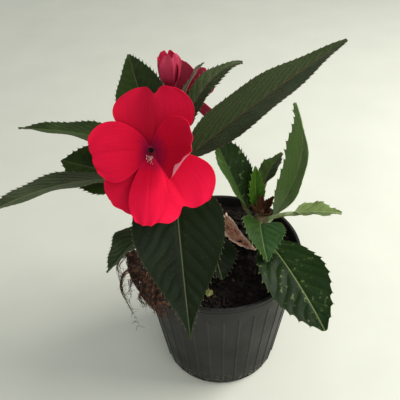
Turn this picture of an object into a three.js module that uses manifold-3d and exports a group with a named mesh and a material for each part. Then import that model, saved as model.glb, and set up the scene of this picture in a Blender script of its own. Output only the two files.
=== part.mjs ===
// A New Guinea impatiens in a small nursery pot, in millimetres.
// The origin is the middle of the pot's flat base, on the surface it stands on. +Z is up, +X is to the
// right and -Y is the front, the side that the open bloom faces.
import * as THREE from "three";
import { mergeVertices } from "three/addons/utils/BufferGeometryUtils.js";
import Module from "manifold-3d";

const wasm = await Module();
wasm.setup();

// Driving dimensions

const CLEAR = 0.3; // gap between two pieces that touch on the real plant

const POT = {
  rimRadius: 52.5,
  footRadius: 39,
  height: 95,
  wall: 1.2,
  floor: 2,
  collar: 12,
  collarStep: 0.9,
  ribs: 32,
  ribHeight: 0.5,
  ribWidth: 1.8,
  chamfer: 1.5,
  slots: 8,
  slotWidth: 7,
  slotHeight: 3,
  slotSill: 0.8,
};
const SOIL = { level: 89, lump: 1.3, rings: 7, sectors: 32, edgeDrop: 1, wallGap: 0.45 };
const STEM_HOLE = { room: 0.4, length: 60, sides: 14 };
const BLADE_THICK = 0.8; // leaves and petals alike
const PATH_STEPS = 60;
const SLACK = { petal: 0.04, rod: 0.02, root: 0.1 }; // how far a joined surface may move as it is thinned

// Stations of each stem, x y z and radius, from its buried end up. The first two give the plain hole's
// line in the soil.
const MAIN_STEM = [
  [-14, 8, 60, 4.6],
  [-17, 8, 90, 4.6],
  [-20, 7, 118, 4.2],
  [-24, 5, 146, 3.8],
  [-27, 4, 172, 3.0],
];
const SIDE_STEM = [
  [20, 8, 66, 3.8],
  [22, 8, 90, 3.8],
  [26, 7, 106, 3.4],
  [27.5, 6, 115, 3],
];

// A leaf's form. Stalk, length, width, tooth and wave are in mm, and heading, pitch, roll and fold are in
// degrees. Heading, pitch and roll run from a first value at the stalk's foot to a last one at the tip. Base
// and taper give the outline: the larger base is, the narrower the leaf starts, and taper does the same for
// the tip. Teeth are counted along one margin, and columns are the strips on each side of the rib.
const LEAF = {
  stalk: 10,
  stalkRadius: 1.4,
  bend: 1,
  fold: 12,
  cup: 0,
  wave: 0.7,
  waves: 2.5,
  teeth: 12,
  tooth: 0.6,
  base: 0.8,
  taper: 1.15,
  thick: BLADE_THICK,
  columns: 2,
};
const TOOTH_LEAN = 0.6; // how far a tooth's point leans towards the tip, as a share of half a tooth
const TOOTH_FULL_AT = 4; // half width from which the teeth have their full depth
const TIP_HALF = 0.45;
const RIB_RISE = 0.9;
const RIB_FADE = 0.7;
const STALK_ROWS = 3;
const BASE_BLEND = 0.35; // how far the first row of the blade has opened out of the stalk's round section

const LEAVES = {
  leaf_front: {
    stem: MAIN_STEM, z: 158, heading: [-87, -83], pitch: [-26, -53], bend: 0.8, stalk: 8,
    length: 88, width: 51, roll: [3, -12], fold: 9, base: 0.7, taper: 1.6, teeth: 15,
  },
  leaf_top_left: {
    stem: MAIN_STEM, z: 163, heading: [130, 100], pitch: [51, 25], stalk: 10,
    length: 56, width: 31, roll: [31, 38], fold: 10, teeth: 12,
  },
  leaf_left_upper: {
    stem: MAIN_STEM, z: 160, heading: [174, 180], pitch: [31, 1], stalk: 13,
    length: 71, width: 24, roll: [0, -16], teeth: 11,
  },
  leaf_left_lower: {
    stem: MAIN_STEM, z: 141, heading: [-170, -131], pitch: [29, 0], stalk: 32,
    length: 77, width: 25, roll: [-18, -10], fold: 10, teeth: 12,
  },
  leaf_left_behind: {
    stem: MAIN_STEM, z: 147, heading: [182, 162], pitch: [11, 7], stalk: 20,
    length: 45, width: 36, roll: [17, 25], fold: 10, base: 0.83, taper: 1.12, teeth: 9,
  },
  leaf_right_long: {
    stem: MAIN_STEM, z: 157, heading: [27, 28], pitch: [28, 17], stalk: 5,
    length: 120, width: 33, roll: [-5, 6], base: 0.58, taper: 1, teeth: 16, tooth: 0.5,
  },
  leaf_top_right: {
    stem: MAIN_STEM, z: 167, heading: [42, 37], pitch: [66, -16], bend: 1.6, stalk: 8,
    length: 60, width: 12, roll: [-8, -16], fold: 16, teeth: 10,
  },
  leaf_top_edge: {
    stem: MAIN_STEM, z: 168, heading: [78, 49], pitch: [63, 12], stalk: 12,
    length: 43, width: 8, roll: [68, 66], fold: 5, teeth: 6, tooth: 0.3, columns: 1,
  },
  leaf_low_left: {
    stem: MAIN_STEM, z: 128, heading: [-133, -140], pitch: [6, -36], stalk: 25,
    length: 35, width: 35, roll: [-6, -39], fold: 14, base: 0.85, taper: 1.1, teeth: 9,
  },
  leaf_low_front: {
    stem: MAIN_STEM, z: 112, heading: [-50, -80], pitch: [-6, -34], stalk: 14,
    length: 28, width: 27, roll: [8, 12], fold: 10, teeth: 7, columns: 1,
  },
};

const YOUNG_LEAVES = {
  young_leaf_up_left: {
    stem: SIDE_STEM, z: 109, heading: [159, 142], pitch: [68, 60], stalk: 9,
    length: 51, width: 27, roll: [-6, 9], fold: 28, base: 0.86, taper: 0.8, teeth: 10,
  },
  young_leaf_tall: {
    stem: SIDE_STEM, z: 104, heading: [21, 28], pitch: [43, 118], stalk: 8,
    length: 85, width: 27, roll: [9, 7], fold: 14, base: 0.86, taper: 1.2, teeth: 12, tooth: 0.8,
  },
  young_leaf_right: {
    stem: SIDE_STEM, z: 112.5, heading: [-8, -12], pitch: [27, -6], stalk: 17,
    length: 29, width: 18, roll: [18, 11], fold: 14, teeth: 6, tooth: 0.8, columns: 1,
  },
  young_leaf_small: {
    stem: SIDE_STEM, z: 113, heading: [113, 110], pitch: [74, 86], stalk: 3,
    length: 30, width: 11, roll: [6, 6], fold: 26, teeth: 6, columns: 1,
  },
  young_leaf_behind: {
    stem: SIDE_STEM, z: 112, heading: [87, 44], pitch: [46, 5], stalk: 20,
    length: 28, width: 14, roll: [14, 19], fold: 14, teeth: 6, columns: 1,
  },
  young_leaf_drooping: {
    stem: SIDE_STEM, z: 112, heading: [-100, -78], pitch: [40, -45], stalk: 3,
    length: 33, width: 28, roll: [13, 18], fold: 24, base: 0.77, taper: 1.27, teeth: 8,
  },
  young_leaf_broad: {
    stem: SIDE_STEM, z: 103, heading: [-74, -58], pitch: [20, -42], stalk: 10,
    length: 69, width: 38, roll: [21, -27], fold: 10, base: 0.87, taper: 1.02, teeth: 13,
  },
};

// A petal's form, in the same terms. Claw is its half width at its foot, peak is where it is widest, and
// notch, notchWidth and notchAt shape the dip in its end. Drop pulls its end's corners back.
const PETAL = {
  stalk: 0,
  stalkRadius: 1.5,
  bend: 1,
  fold: 6,
  cup: 0.15,
  wave: 0.6,
  waves: 1,
  thick: BLADE_THICK,
  columns: 4,
  rows: 8,
  claw: 3,
  peak: 0.62,
  notch: 0.12,
  notchWidth: 0.25,
  notchAt: 0,
  drop: 0.06,
};
const PETAL_END = 0.58; // how broad a petal still is at its end, as a share of its greatest width
const PETAL_SHAPE = { swell: 0.9, shoulder: 2.2, spacing: 0.85, notchRise: 4, dropAcross: 2.6, dropRise: 3 };

// Each bloom has a place, a tilt and a turn, a heart that lies behind its petals, and its petals. Lift is a
// petal's height over the heart where it starts, and a throat is cut between the petals of an open bloom.

const FRONT_BLOOM = { place: [-35, -20, 183], tilt: 56, turn: 4 };
const FRONT_HEART = { radius: 5, reach: 2.2, throat: 1.9 };
const FRONT_PETALS = [
  {
    lift: -0.5, heading: [78, 90], pitch: [24, 4], length: 32, width: 40.6,
    notchWidth: 0.2, notchAt: 0.05, fold: -5, cup: 0.35,
  },
  { lift: 0.9, heading: [169, 189], pitch: [31, -11], roll: [2, 5], length: 29, width: 30.5, notch: 0.02 },
  {
    lift: -0.4, heading: [241, 236], pitch: [12, -14], length: 32, width: 31,
    notch: 0.02, drop: 0.12, fold: 8, columns: 2,
  },
  {
    lift: -0.2, heading: [263, 260], pitch: [44, -25], length: 38, width: 20,
    notch: 0.01, claw: 1.9, peak: 0.66, fold: -7, cup: -0.15, columns: 2,
  },
  {
    lift: -1.8, heading: [302, 293], pitch: [0, -6], roll: [0, 9], length: 34.5, width: 43,
    notchAt: 0.12, drop: 0.01,
  },
  {
    lift: 0.6, heading: [10, -27], pitch: [15, 98], length: 34, width: 32,
    notch: 0.02, fold: 16, cup: 0.3, claw: 5, peak: 0.5,
  },
];

const BUD_BLOOM = { place: [-26, 34, 192.5], tilt: -4, turn: 0 };
const BUD_HEART = { radius: 4, reach: 2.4 };
const BUD_PETALS = [
  { lift: -1.4, heading: [-60, -60], pitch: [70, 97], length: 22, width: 15, fold: 18 },
  { lift: -1.4, heading: [184, 184], pitch: [64, 100], length: 20, width: 8, drop: 0.5 },
  { lift: -1.4, heading: [95, 95], pitch: [74, 92], length: 21, width: 12 },
  { lift: -1.4, heading: [15, 15], pitch: [66, 100], length: 18, width: 10 },
];

const BACK_BLOOM = { place: [-18.6, 57.4, 172.6], tilt: -90, turn: -30 };
const BACK_HEART = { radius: 4, reach: 2, throat: 1.2 };
const BACK_PETALS = [
  { lift: 0.9, heading: [-44, -44], pitch: [10, -10], length: 24, width: 18, columns: 3 },
  { lift: -0.9, heading: [24, 24], pitch: [10, -10], length: 21, width: 9 },
  { lift: 0.9, heading: [104, 104], pitch: [14, -6], length: 24, width: 18 },
  { lift: -0.6, heading: [-100, -100], pitch: [14, -8], length: 22, width: 20 },
  { lift: 0, heading: [168, 168], pitch: [14, -8], length: 24, width: 20 },
];

const SMALL_PETAL = { columns: 2, rows: 5, claw: 2 };
const HEART_FLAT = { squash: 0.55, sink: 0.4, sides: 10, rows: 6 };
const THROAT = { depth: 12, narrowing: 0.6, below: 1.2, sides: 10 };

// The stations below are x y z and radius. The column and the spurs are in their bloom's own frame.
const FRONT_COLUMN = [
  [0, -2.2, 1.3, 1.5],
  [-0.2, -2.6, 3, 1.7],
  [-0.4, -3.6, 4.6, 1],
];

const STALK_CAP = { length: 1.2, foot: 1.3, top: 2, behind: 0.95 };
const FRONT_PATH = [
  [-28.2, 2.6, 172.9, 1.3],
  [-29.5, -1, 177, 1.2],
  [-33, -8, 178.6, 1.2],
];
const FRONT_SPUR = [
  [0, -8, -9, 0.9],
  [2, -20, -15, 0.8],
  [5, -33, -16, 0.5],
];
const BUD_PATH = [
  [-27, 6, 172.9, 1.2],
  [-25.4, 11, 180, 1.1],
  [-24.6, 22, 186, 1.1],
  [-25.4, 31, 187, 1.1],
];
const BUD_SPUR = [
  [-2, 5, -8, 0.9],
  [-4, 12, -14, 0.7],
  [-8, 20, -16, 0.5],
];
const BACK_PATH = [
  [-25.6, 8.9, 160, 1.2],
  [-25, 16, 166, 1.1],
  [-23, 34, 171, 1.1],
  [-20.5, 49, 172.6, 1.1],
];
const BACK_SPUR = [
  [0, 8, -8, 0.9],
  [1, 20, -12, 0.7],
  [2, 30, -10, 0.5],
];

// The brown, curled dead leaf that lies on the soil round the foot of the side stem.
const WITHERED = {
  foot: [6.5, 33, 93], heading: [-92, -36], pitch: [-4, 2], stalk: 2, length: 38, width: 11,
  roll: [-25, -30], fold: 34, cup: 0.5, wave: 1, waves: 3, teeth: 5, tooth: 0.4,
};

// A small fallen bud on the soil near the front. Above is the share of its height at which its middle lies.
const FALLEN = { at: [-7.7, -34], size: [2.6, 3.2, 2], above: 0.6 };

// Clods of matted root that sit over the left side of the rim, by their turn round the pot, and the thick
// strands of root that hang from them.
const RIM_LUMPS = [
  { turn: 188, out: 0, size: [8, 7, 6] },
  { turn: 201, out: 1, size: [9, 9, 6] },
  { turn: 215, out: -1, size: [8, 9, 6] },
  { turn: 229, out: -2, size: [7, 8, 5] },
];
const STRANDS = [
  [[-50, -8, 97, 2], [-57, -9, 100, 1.8], [-63, -14, 97, 1.5], [-61, -24, 94, 1.2], [-56, -30, 84, 1]],
  [[-52, -18, 96, 1.8], [-58, -22, 97, 1.5], [-61, -27, 90, 1.2], [-57, -33, 80, 1], [-52, -41, 70, 0.8]],
  [[-50, -22, 97, 1.6], [-55, -27, 94, 1.2], [-55, -30, 86, 0.9]],
  [[-44, -32, 96, 1.8], [-49, -37, 92, 1.2], [-46, -36, 82, 0.9]],
  [[-36, -38, 96, 1.8], [-41, -44, 93, 1.2], [-38, -43, 84, 0.9]],
];

// The tight young leaves at the tip of the side shoot, and the knob that they grow from.
const HEART_KNOB = { radius: 2, above: 0.6, rise: 1.2, leavesAt: 1, sides: 8, rows: 5 };
const HEART_LEAF = { roll: [0, 0], fold: 24, stalk: 1, stalkRadius: 1, teeth: 2, tooth: 0.2, columns: 1 };
const HEART_LEAVES = [
  { heading: [20, 20], pitch: [40, 70], length: 12, width: 7 },
  { heading: [110, 110], pitch: [60, 84], length: 11, width: 6 },
  { heading: [205, 205], pitch: [34, 66], length: 12, width: 7 },
  { heading: [-70, -70], pitch: [20, 50], length: 11, width: 7 },
];

const COLOUR = {
  pot: 0x3a3b3d,
  soil: 0x1d1714,
  roots: 0x4a2c1e,
  stem: 0x6d5a3c,
  darkLeaf: 0x22381f,
  youngLeaf: 0x3f6430,
  heart: 0x6b4a2a,
  petal: 0xd0112f,
  shadePetal: 0xb4203f,
  stalk: 0x8a3b3a,
  column: 0xe0b8a8,
  withered: 0xb98a72,
  bud: 0xa39a45,
};

// Small helpers

const rad = THREE.MathUtils.degToRad;
const lerp = THREE.MathUtils.lerp;
const vec = (x, y, z) => new THREE.Vector3(x, y, z);
const MERGE = 1e-4; // vertices closer than this are one vertex

// A closed mesh's geometry as a solid that can be cut and joined.
function solid(geometry) {
  const bare = geometry.clone();
  bare.deleteAttribute("normal");
  bare.deleteAttribute("uv");
  const merged = mergeVertices(bare, MERGE);
  return new wasm.Manifold(
    new wasm.Mesh({
      numProp: 3,
      vertProperties: merged.attributes.position.array,
      triVerts: new Uint32Array(merged.index.array),
    }),
  );
}

function geometryOf(manifold) {
  const mesh = manifold.getMesh();
  const geometry = new THREE.BufferGeometry();
  geometry.setAttribute("position", new THREE.BufferAttribute(mesh.vertProperties, 3));
  geometry.setIndex(new THREE.BufferAttribute(mesh.triVerts, 1));
  return geometry;
}

function unite(geometries) {
  return geometries.map(solid).reduce((whole, next) => whole.add(next));
}

// A closed geometry from points and a list of triangles that index them.
function shell(points, faces) {
  const geometry = new THREE.BufferGeometry();
  const flat = new Float32Array(points.flatMap((p) => [p.x, p.y, p.z]));
  geometry.setAttribute("position", new THREE.BufferAttribute(flat, 3));
  geometry.setIndex(faces.flat());
  return geometry;
}

function material(colour, roughness, metalness = 0) {
  return new THREE.MeshStandardMaterial({ color: colour, roughness, metalness, side: THREE.DoubleSide });
}

function piece(name, geometry, finish) {
  const mesh = new THREE.Mesh(geometry, finish);
  mesh.name = name;
  return mesh;
}

// Blades: one formula for leaves and petals

// The direction that a heading and a pitch give.
function along(turn) {
  const level = Math.cos(turn.pitch);
  return vec(level * Math.cos(turn.heading), level * Math.sin(turn.heading), Math.sin(turn.pitch));
}

// The line that a blade's rib follows. Heading is measured in the XY plane from +X, pitch is the rise
// above it, and roll turns the blade about its own rib. Each runs from a first to a last value, in degrees.
function ribPath(form) {
  const total = form.stalk + form.length;
  const points = [vec(...form.foot)];
  const turns = [];
  for (let i = 0; i <= PATH_STEPS; i += 1) {
    const share = i / PATH_STEPS;
    turns.push({
      heading: rad(lerp(...form.heading, share)),
      pitch: rad(lerp(...form.pitch, share ** form.bend)),
      roll: rad(lerp(...form.roll, share)),
    });
  }
  for (let i = 0; i < PATH_STEPS; i += 1) {
    const middle = along(turns[i]).add(along(turns[i + 1])).normalize();
    points.push(points[i].clone().addScaledVector(middle, total / PATH_STEPS));
  }
  return (distance) => {
    const place = THREE.MathUtils.clamp(distance / total, 0, 1) * PATH_STEPS;
    const i = Math.min(Math.floor(place), PATH_STEPS - 1);
    const share = place - i;
    const turn = {
      heading: lerp(turns[i].heading, turns[i + 1].heading, share),
      pitch: lerp(turns[i].pitch, turns[i + 1].pitch, share),
      roll: lerp(turns[i].roll, turns[i + 1].roll, share),
    };
    const ahead = along(turn);
    const level = vec(Math.sin(turn.heading), -Math.cos(turn.heading), 0);
    const above = level.clone().cross(ahead);
    const [rollCos, rollSin] = [Math.cos(turn.roll), Math.sin(turn.roll)];
    const side = level.clone().multiplyScalar(rollCos).addScaledVector(above, rollSin);
    const up = above.clone().multiplyScalar(rollCos).addScaledVector(level, -rollSin);
    const over = Math.max(distance - total, 0);
    const point = points[i].clone().lerp(points[i + 1], share).addScaledVector(ahead, over);
    return { point, side, up };
  };
}

// Half widths between which a blade's walls turn square to its slope, and half the arc, in degrees, that the
// points of one face take round the stalk.
const NARROW = [1.5, 6];
const ROUND_HALF = 72;

// One face's square between rows i and i + 1 as two triangles, cut along one diagonal or the other.
function halves(corner, i, j, flip) {
  const [a, b] = [corner(i, j), corner(i, j + 1)];
  const [c, d] = [corner(i + 1, j + 1), corner(i + 1, j)];
  return flip ? [[a, b, d], [b, c, d]] : [[a, b, c], [a, c, d]];
}

// The upper and the lower point of a blade at a row and a share v of its half width, from -1 to 1.
function bladePoints(form, rib, row, v) {
  const frame = rib(form.stalk + form.length * row.reach(v));
  const half = row.half(v);
  const fold = rad(form.fold);
  const sign = Math.sign(v);
  const wave = Math.sin(2 * Math.PI * form.waves * row.t + sign);
  const lift =
    half * Math.abs(v) * Math.sin(fold) +
    half * form.cup * v * v * 0.5 +
    form.wave * v * v * wave * row.full;
  const out = half * v * Math.cos(fold);
  const top = frame.point.clone().addScaledVector(frame.side, out).addScaledVector(frame.up, lift);
  const square = THREE.MathUtils.smoothstep(half, ...NARROW);
  const lean = square * (fold + form.cup * Math.abs(v)) * sign;
  const normal = frame.up.clone().multiplyScalar(Math.cos(lean)).addScaledVector(frame.side, -Math.sin(lean));
  const thick = form.thick + (v === 0 ? row.ridge : 0);
  const bottom = top.clone().addScaledVector(normal, -thick);
  // Along the stalk the ring closes to a rounded section.
  const turn = rad(90 - ROUND_HALF * v);
  const round = (angle) =>
    frame.point
      .clone()
      .addScaledVector(frame.up, form.stalkRadius * Math.sin(angle) - form.thick / 2)
      .addScaledVector(frame.side, form.stalkRadius * Math.cos(angle));
  return [round(turn).lerp(top, row.full), round(-turn).lerp(bottom, row.full)];
}

// Sweeps one closed blade. Each row is a ring: the upper face's points from one margin to the other, and
// then the lower face's points back. Both faces are split into the same triangles.
function sweepBlade(form, rows) {
  const rib = ribPath(form);
  const across = form.columns;
  const perFace = 2 * across + 1;
  const points = [];
  rows.forEach((row) => {
    const pairs = Array.from({ length: perFace }, (_, j) => bladePoints(form, rib, row, j / across - 1));
    points.push(...pairs.map((pair) => pair[0]), ...pairs.map((pair) => pair[1]).reverse());
  });
  const ring = 2 * perFace;
  const at = (i, j) => i * ring + j;
  const low = (i, j) => i * ring + ring - 1 - j;
  const faces = [];
  for (let i = 0; i < rows.length - 1; i += 1) {
    for (let j = 0; j < perFace - 1; j += 1) {
      const flip = j < across;
      faces.push(...halves(at, i, j, flip));
      faces.push(...halves(low, i, j, flip).map(([a, b, c]) => [a, c, b]));
    }
    const last = perFace - 1;
    faces.push([at(i, last), low(i, last), at(i + 1, last)]);
    faces.push([low(i, last), low(i + 1, last), at(i + 1, last)]);
    faces.push([low(i, 0), at(i, 0), low(i + 1, 0)]);
    faces.push([at(i, 0), at(i + 1, 0), low(i + 1, 0)]);
  }
  const end = rows.length - 1;
  for (let j = 0; j < perFace - 1; j += 1) {
    faces.push([at(0, j), low(0, j), at(0, j + 1)], [at(0, j + 1), low(0, j), low(0, j + 1)]);
    faces.push([at(end, j), at(end, j + 1), low(end, j)], [at(end, j + 1), low(end, j + 1), low(end, j)]);
  }
  return shell(points, faces);
}

// A leaf

// The half width along a leaf as a share of its greatest, from its base to its tip.
function leafOutline(form, t) {
  const widest = form.base / (form.base + form.taper);
  const full = widest ** form.base * (1 - widest) ** form.taper;
  return (t ** form.base * (1 - t) ** form.taper) / full;
}

function leafGeometry(own) {
  const form = { ...LEAF, ...own };
  const rows = [];
  for (let i = 0; i < STALK_ROWS; i += 1) {
    const reach = (i / STALK_ROWS - 1) * (form.stalk / form.length);
    rows.push({ t: 0, full: 0, ridge: 0, reach: () => reach, half: () => form.stalkRadius });
  }
  const count = 2 * form.teeth;
  for (let i = 0; i <= count; i += 1) {
    const t = i / count;
    const point = i % 2 === 1;
    const plain = Math.hypot((form.width / 2) * leafOutline(form, t), form.stalkRadius * (1 - t));
    const half = plain + TIP_HALF * t;
    const step = form.tooth * Math.min(1, half / TOOTH_FULL_AT) * (point ? 1 : -1);
    rows.push({
      t,
      full: i === 0 ? BASE_BLEND : 1,
      ridge: RIB_RISE * (1 - t) ** RIB_FADE,
      reach: (v) => t + (point ? (TOOTH_LEAN / count) * Math.abs(v) ** 3 : 0),
      half: (v) => half + (Math.abs(v) === 1 ? step : 0),
    });
  }
  return sweepBlade(form, rows);
}

// A petal

// The half width of a petal: narrow at its claw, widest at its peak, and still broad at its end.
function petalOutline(form, t) {
  if (t < form.peak) {
    return lerp(form.claw, form.width / 2, Math.sin((Math.PI / 2) * (t / form.peak)) ** PETAL_SHAPE.swell);
  }
  const past = (t - form.peak) / (1 - form.peak);
  return (form.width / 2) * (1 - (1 - PETAL_END) * past ** PETAL_SHAPE.shoulder);
}

function petalGeometry(own) {
  const form = { ...PETAL, ...own };
  const { spacing, notchRise, dropAcross, dropRise } = PETAL_SHAPE;
  const rows = [];
  for (let i = 0; i <= form.rows; i += 1) {
    const t = (i / form.rows) ** spacing;
    const dip = (v) => form.notch * Math.exp(-(((v - form.notchAt) / form.notchWidth) ** 2)) * t ** notchRise;
    rows.push({
      t,
      full: 1,
      ridge: 0,
      reach: (v) => t - dip(v) - form.drop * Math.abs(v) ** dropAcross * t ** dropRise,
      half: () => petalOutline(form, t),
    });
  }
  return sweepBlade(form, rows);
}

// Stems and other round rods

// A rod through a list of [x, y, z, radius] points on a smooth curve, closed at both ends.
function rodGeometry(stations, sides, steps) {
  const curve = new THREE.CatmullRomCurve3(stations.map(([x, y, z]) => vec(x, y, z)), false, "centripetal");
  const radiusAt = (share) => {
    const place = share * (stations.length - 1);
    const i = Math.min(Math.floor(place), stations.length - 2);
    return lerp(stations[i][3], stations[i + 1][3], place - i);
  };
  const frames = curve.computeFrenetFrames(steps, false);
  const points = [];
  const faces = [];
  for (let i = 0; i <= steps; i += 1) {
    const centre = curve.getPoint(i / steps);
    for (let j = 0; j < sides; j += 1) {
      const turn = (2 * Math.PI * j) / sides;
      points.push(
        centre
          .clone()
          .addScaledVector(frames.normals[i], radiusAt(i / steps) * Math.cos(turn))
          .addScaledVector(frames.binormals[i], radiusAt(i / steps) * Math.sin(turn)),
      );
    }
  }
  for (let i = 0; i < steps; i += 1) {
    for (let j = 0; j < sides; j += 1) {
      const k = (j + 1) % sides;
      const [a, b, c, d] = [i * sides + j, i * sides + k, (i + 1) * sides + k, (i + 1) * sides + j];
      faces.push([a, b, c], [a, c, d]);
    }
  }
  for (let j = 1; j < sides - 1; j += 1) {
    faces.push([0, j + 1, j], [steps * sides, steps * sides + j, steps * sides + j + 1]);
  }
  return shell(points, faces);
}

// Pot and soil

const outerWall = (z) => lerp(POT.footRadius, POT.rimRadius - POT.collarStep, z / POT.height);
const innerWall = (z) => outerWall(z) - POT.wall;

// A closed solid from rows of [radius, height], from the middle of its underside round to the middle of
// its top. shape may move a point.
function turned(rows, angles, shape) {
  const points = [vec(0, 0, rows[0][1])];
  const faces = [];
  const count = angles.length;
  rows.slice(1, -1).forEach(([radius, z], i) => {
    angles.forEach((angle, j) => points.push(shape(radius, angle, z, i + 1, j)));
  });
  const last = points.length;
  points.push(shape(0, 0, rows[rows.length - 1][1], rows.length - 1, 0));
  for (let i = 0; i < rows.length - 3; i += 1) {
    for (let j = 0; j < count; j += 1) {
      const k = (j + 1) % count;
      const [a, b] = [1 + i * count + j, 1 + i * count + k];
      faces.push([a, b, b + count], [a, b + count, a + count]);
    }
  }
  for (let j = 0; j < count; j += 1) {
    const k = (j + 1) % count;
    faces.push([0, 1 + k, 1 + j], [last, last - count + j, last - count + k]);
  }
  return shell(points, faces);
}

function potGeometry() {
  const pitch = (2 * Math.PI) / POT.ribs;
  const ribHalf = POT.ribWidth / 2 / POT.rimRadius;
  const perRib = [-ribHalf, 0, ribHalf];
  const angles = Array.from({ length: POT.ribs }, (_, i) => perRib.map((step) => i * pitch + step)).flat();
  const collarFoot = POT.height - POT.collar;
  const rows = [
    [0, 0],
    [POT.footRadius - POT.chamfer, 0],
    [outerWall(POT.chamfer), POT.chamfer],
    [outerWall(collarFoot - 1), collarFoot - 1],
    [outerWall(collarFoot) + POT.collarStep, collarFoot],
    [outerWall(POT.height) + POT.collarStep, POT.height],
    [innerWall(POT.height), POT.height],
    [innerWall(POT.floor), POT.floor],
    [0, POT.floor],
  ];
  const ribbedRows = [2, 3];
  const body = turned(rows, angles, (radius, angle, z, i, j) => {
    const crest = perRib[j % perRib.length] === 0;
    const proud = ribbedRows.includes(i) && crest ? POT.ribHeight : 0;
    return vec((radius + proud) * Math.cos(angle), (radius + proud) * Math.sin(angle), z);
  });
  const slotReach = 9;
  let pot = solid(body);
  for (let i = 0; i < POT.slots; i += 1) {
    const cutter = new THREE.BoxGeometry(slotReach, POT.slotWidth, POT.slotHeight);
    cutter.translate(POT.footRadius, 0, POT.slotHeight / 2 + POT.slotSill);
    cutter.rotateZ((2 * Math.PI * (i + 0.5)) / POT.slots);
    pot = pot.subtract(solid(cutter));
  }
  return pot;
}

// The height of the potting mix at a place, a gently lumpy surface.
function soilHeight(x, y) {
  const broad = Math.sin(0.11 * x + 0.8) * Math.cos(0.09 * y - 0.4);
  const lumps = 0.6 * Math.sin(0.31 * x - 0.23 * y) + 0.4 * Math.sin(0.57 * y + 0.29 * x + 1.1);
  return SOIL.level + SOIL.lump * (broad + lumps);
}

// The potting mix, lifted by raise where something is cut to lie just above it.
function soilSolid(raise = 0) {
  const bottom = POT.floor + CLEAR;
  const side = (z) => innerWall(z) - SOIL.wallGap;
  const edge = SOIL.level - SOIL.edgeDrop;
  const firstRing = side(edge) - 0.2;
  const rows = [
    [0, bottom],
    [side(bottom), bottom],
    [side(edge), edge],
  ];
  for (let i = 1; i <= SOIL.rings; i += 1) {
    rows.push([firstRing * (1 - i / (SOIL.rings + 1)) ** 0.9, SOIL.level]);
  }
  rows.push([0, SOIL.level]);
  const angles = Array.from({ length: SOIL.sectors }, (_, j) => (2 * Math.PI * j) / SOIL.sectors);
  const wallRows = 2;
  const made = turned(rows, angles, (radius, angle, z, i) => {
    const [x, y] = [radius * Math.cos(angle), radius * Math.sin(angle)];
    return vec(x, y, (i > wallRows ? soilHeight(x, y) : z) + raise);
  });
  return solid(made);
}

// A straight round hole for a stem, from well above the soil down to the stem's buried end.
function plantHole(stem) {
  const [x0, y0, z0, radius] = stem[0];
  const foot = vec(x0, y0, z0);
  const ahead = vec(...stem[1].slice(0, 3)).sub(foot).normalize();
  const wide = radius + STEM_HOLE.room;
  const hole = new THREE.CylinderGeometry(wide, wide, STEM_HOLE.length, STEM_HOLE.sides);
  hole.rotateX(Math.PI / 2);
  hole.translate(0, 0, STEM_HOLE.length / 2 - CLEAR);
  hole.applyQuaternion(new THREE.Quaternion().setFromUnitVectors(vec(0, 0, 1), ahead));
  hole.translate(foot.x, foot.y, foot.z);
  return solid(hole);
}

// Where stalks leave the stems

// A place on a stem's middle line, and its radius there, by height.
function onStem(stem, z) {
  const i = Math.max(1, stem.findIndex((s) => s[2] >= z));
  const [a, b] = [stem[i - 1], stem[i]];
  const share = (z - a[2]) / (b[2] - a[2]);
  return [0, 1, 2, 3].map((n) => lerp(a[n], b[n], share));
}

// The foot of a stalk that leaves a stem at a height, in the direction it first takes.
function stalkFoot(stem, z, heading, pitch, radius) {
  const [x, y, , thick] = onStem(stem, z);
  const out = thick + CLEAR + radius * Math.abs(Math.sin(rad(pitch)));
  return [x + out * Math.cos(rad(heading)), y + out * Math.sin(rad(heading)), z];
}

const plant = new THREE.Group();

function addLeaf(name, own, finish) {
  const form = { ...LEAF, ...own };
  const foot = stalkFoot(form.stem, form.z, form.heading[0], form.pitch[0], form.stalkRadius);
  plant.add(piece(name, leafGeometry({ ...form, foot }), finish));
}

const darkLeaf = material(COLOUR.darkLeaf, 0.45);
const youngLeaf = material(COLOUR.youngLeaf, 0.45);
Object.entries(LEAVES).forEach(([name, own]) => addLeaf(name, own, darkLeaf));
Object.entries(YOUNG_LEAVES).forEach(([name, own]) => addLeaf(name, own, youngLeaf));

const stemFinish = material(COLOUR.stem, 0.5);
plant.add(piece("stem_main", rodGeometry(MAIN_STEM, 12, 12), stemFinish));
plant.add(piece("stem_side", rodGeometry(SIDE_STEM, 12, 8), stemFinish));

const soil = soilSolid().subtract(plantHole(MAIN_STEM)).subtract(plantHole(SIDE_STEM));
plant.add(piece("soil", geometryOf(soil), material(COLOUR.soil, 0.95)));
plant.add(piece("pot", geometryOf(potGeometry()), material(COLOUR.pot, 0.5)));

// Blooms

// A bloom stands in its own frame: its face looks along +Z, and its upright petal lies along +Y.
function bloomFrame(place, tilt, turn) {
  const group = new THREE.Group();
  group.position.set(...place);
  group.rotation.set(rad(tilt), 0, rad(turn), "ZXY");
  return group;
}

// The funnel between the petals of an open bloom, which goes half way into its heart.
function throatSolid(heart) {
  const { depth, narrowing, below, sides } = THROAT;
  const throat = new THREE.CylinderGeometry(heart.throat, narrowing * heart.throat, depth, sides);
  throat.rotateX(Math.PI / 2);
  throat.translate(0, below, (depth - heart.radius) / 2);
  return solid(throat);
}

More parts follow.
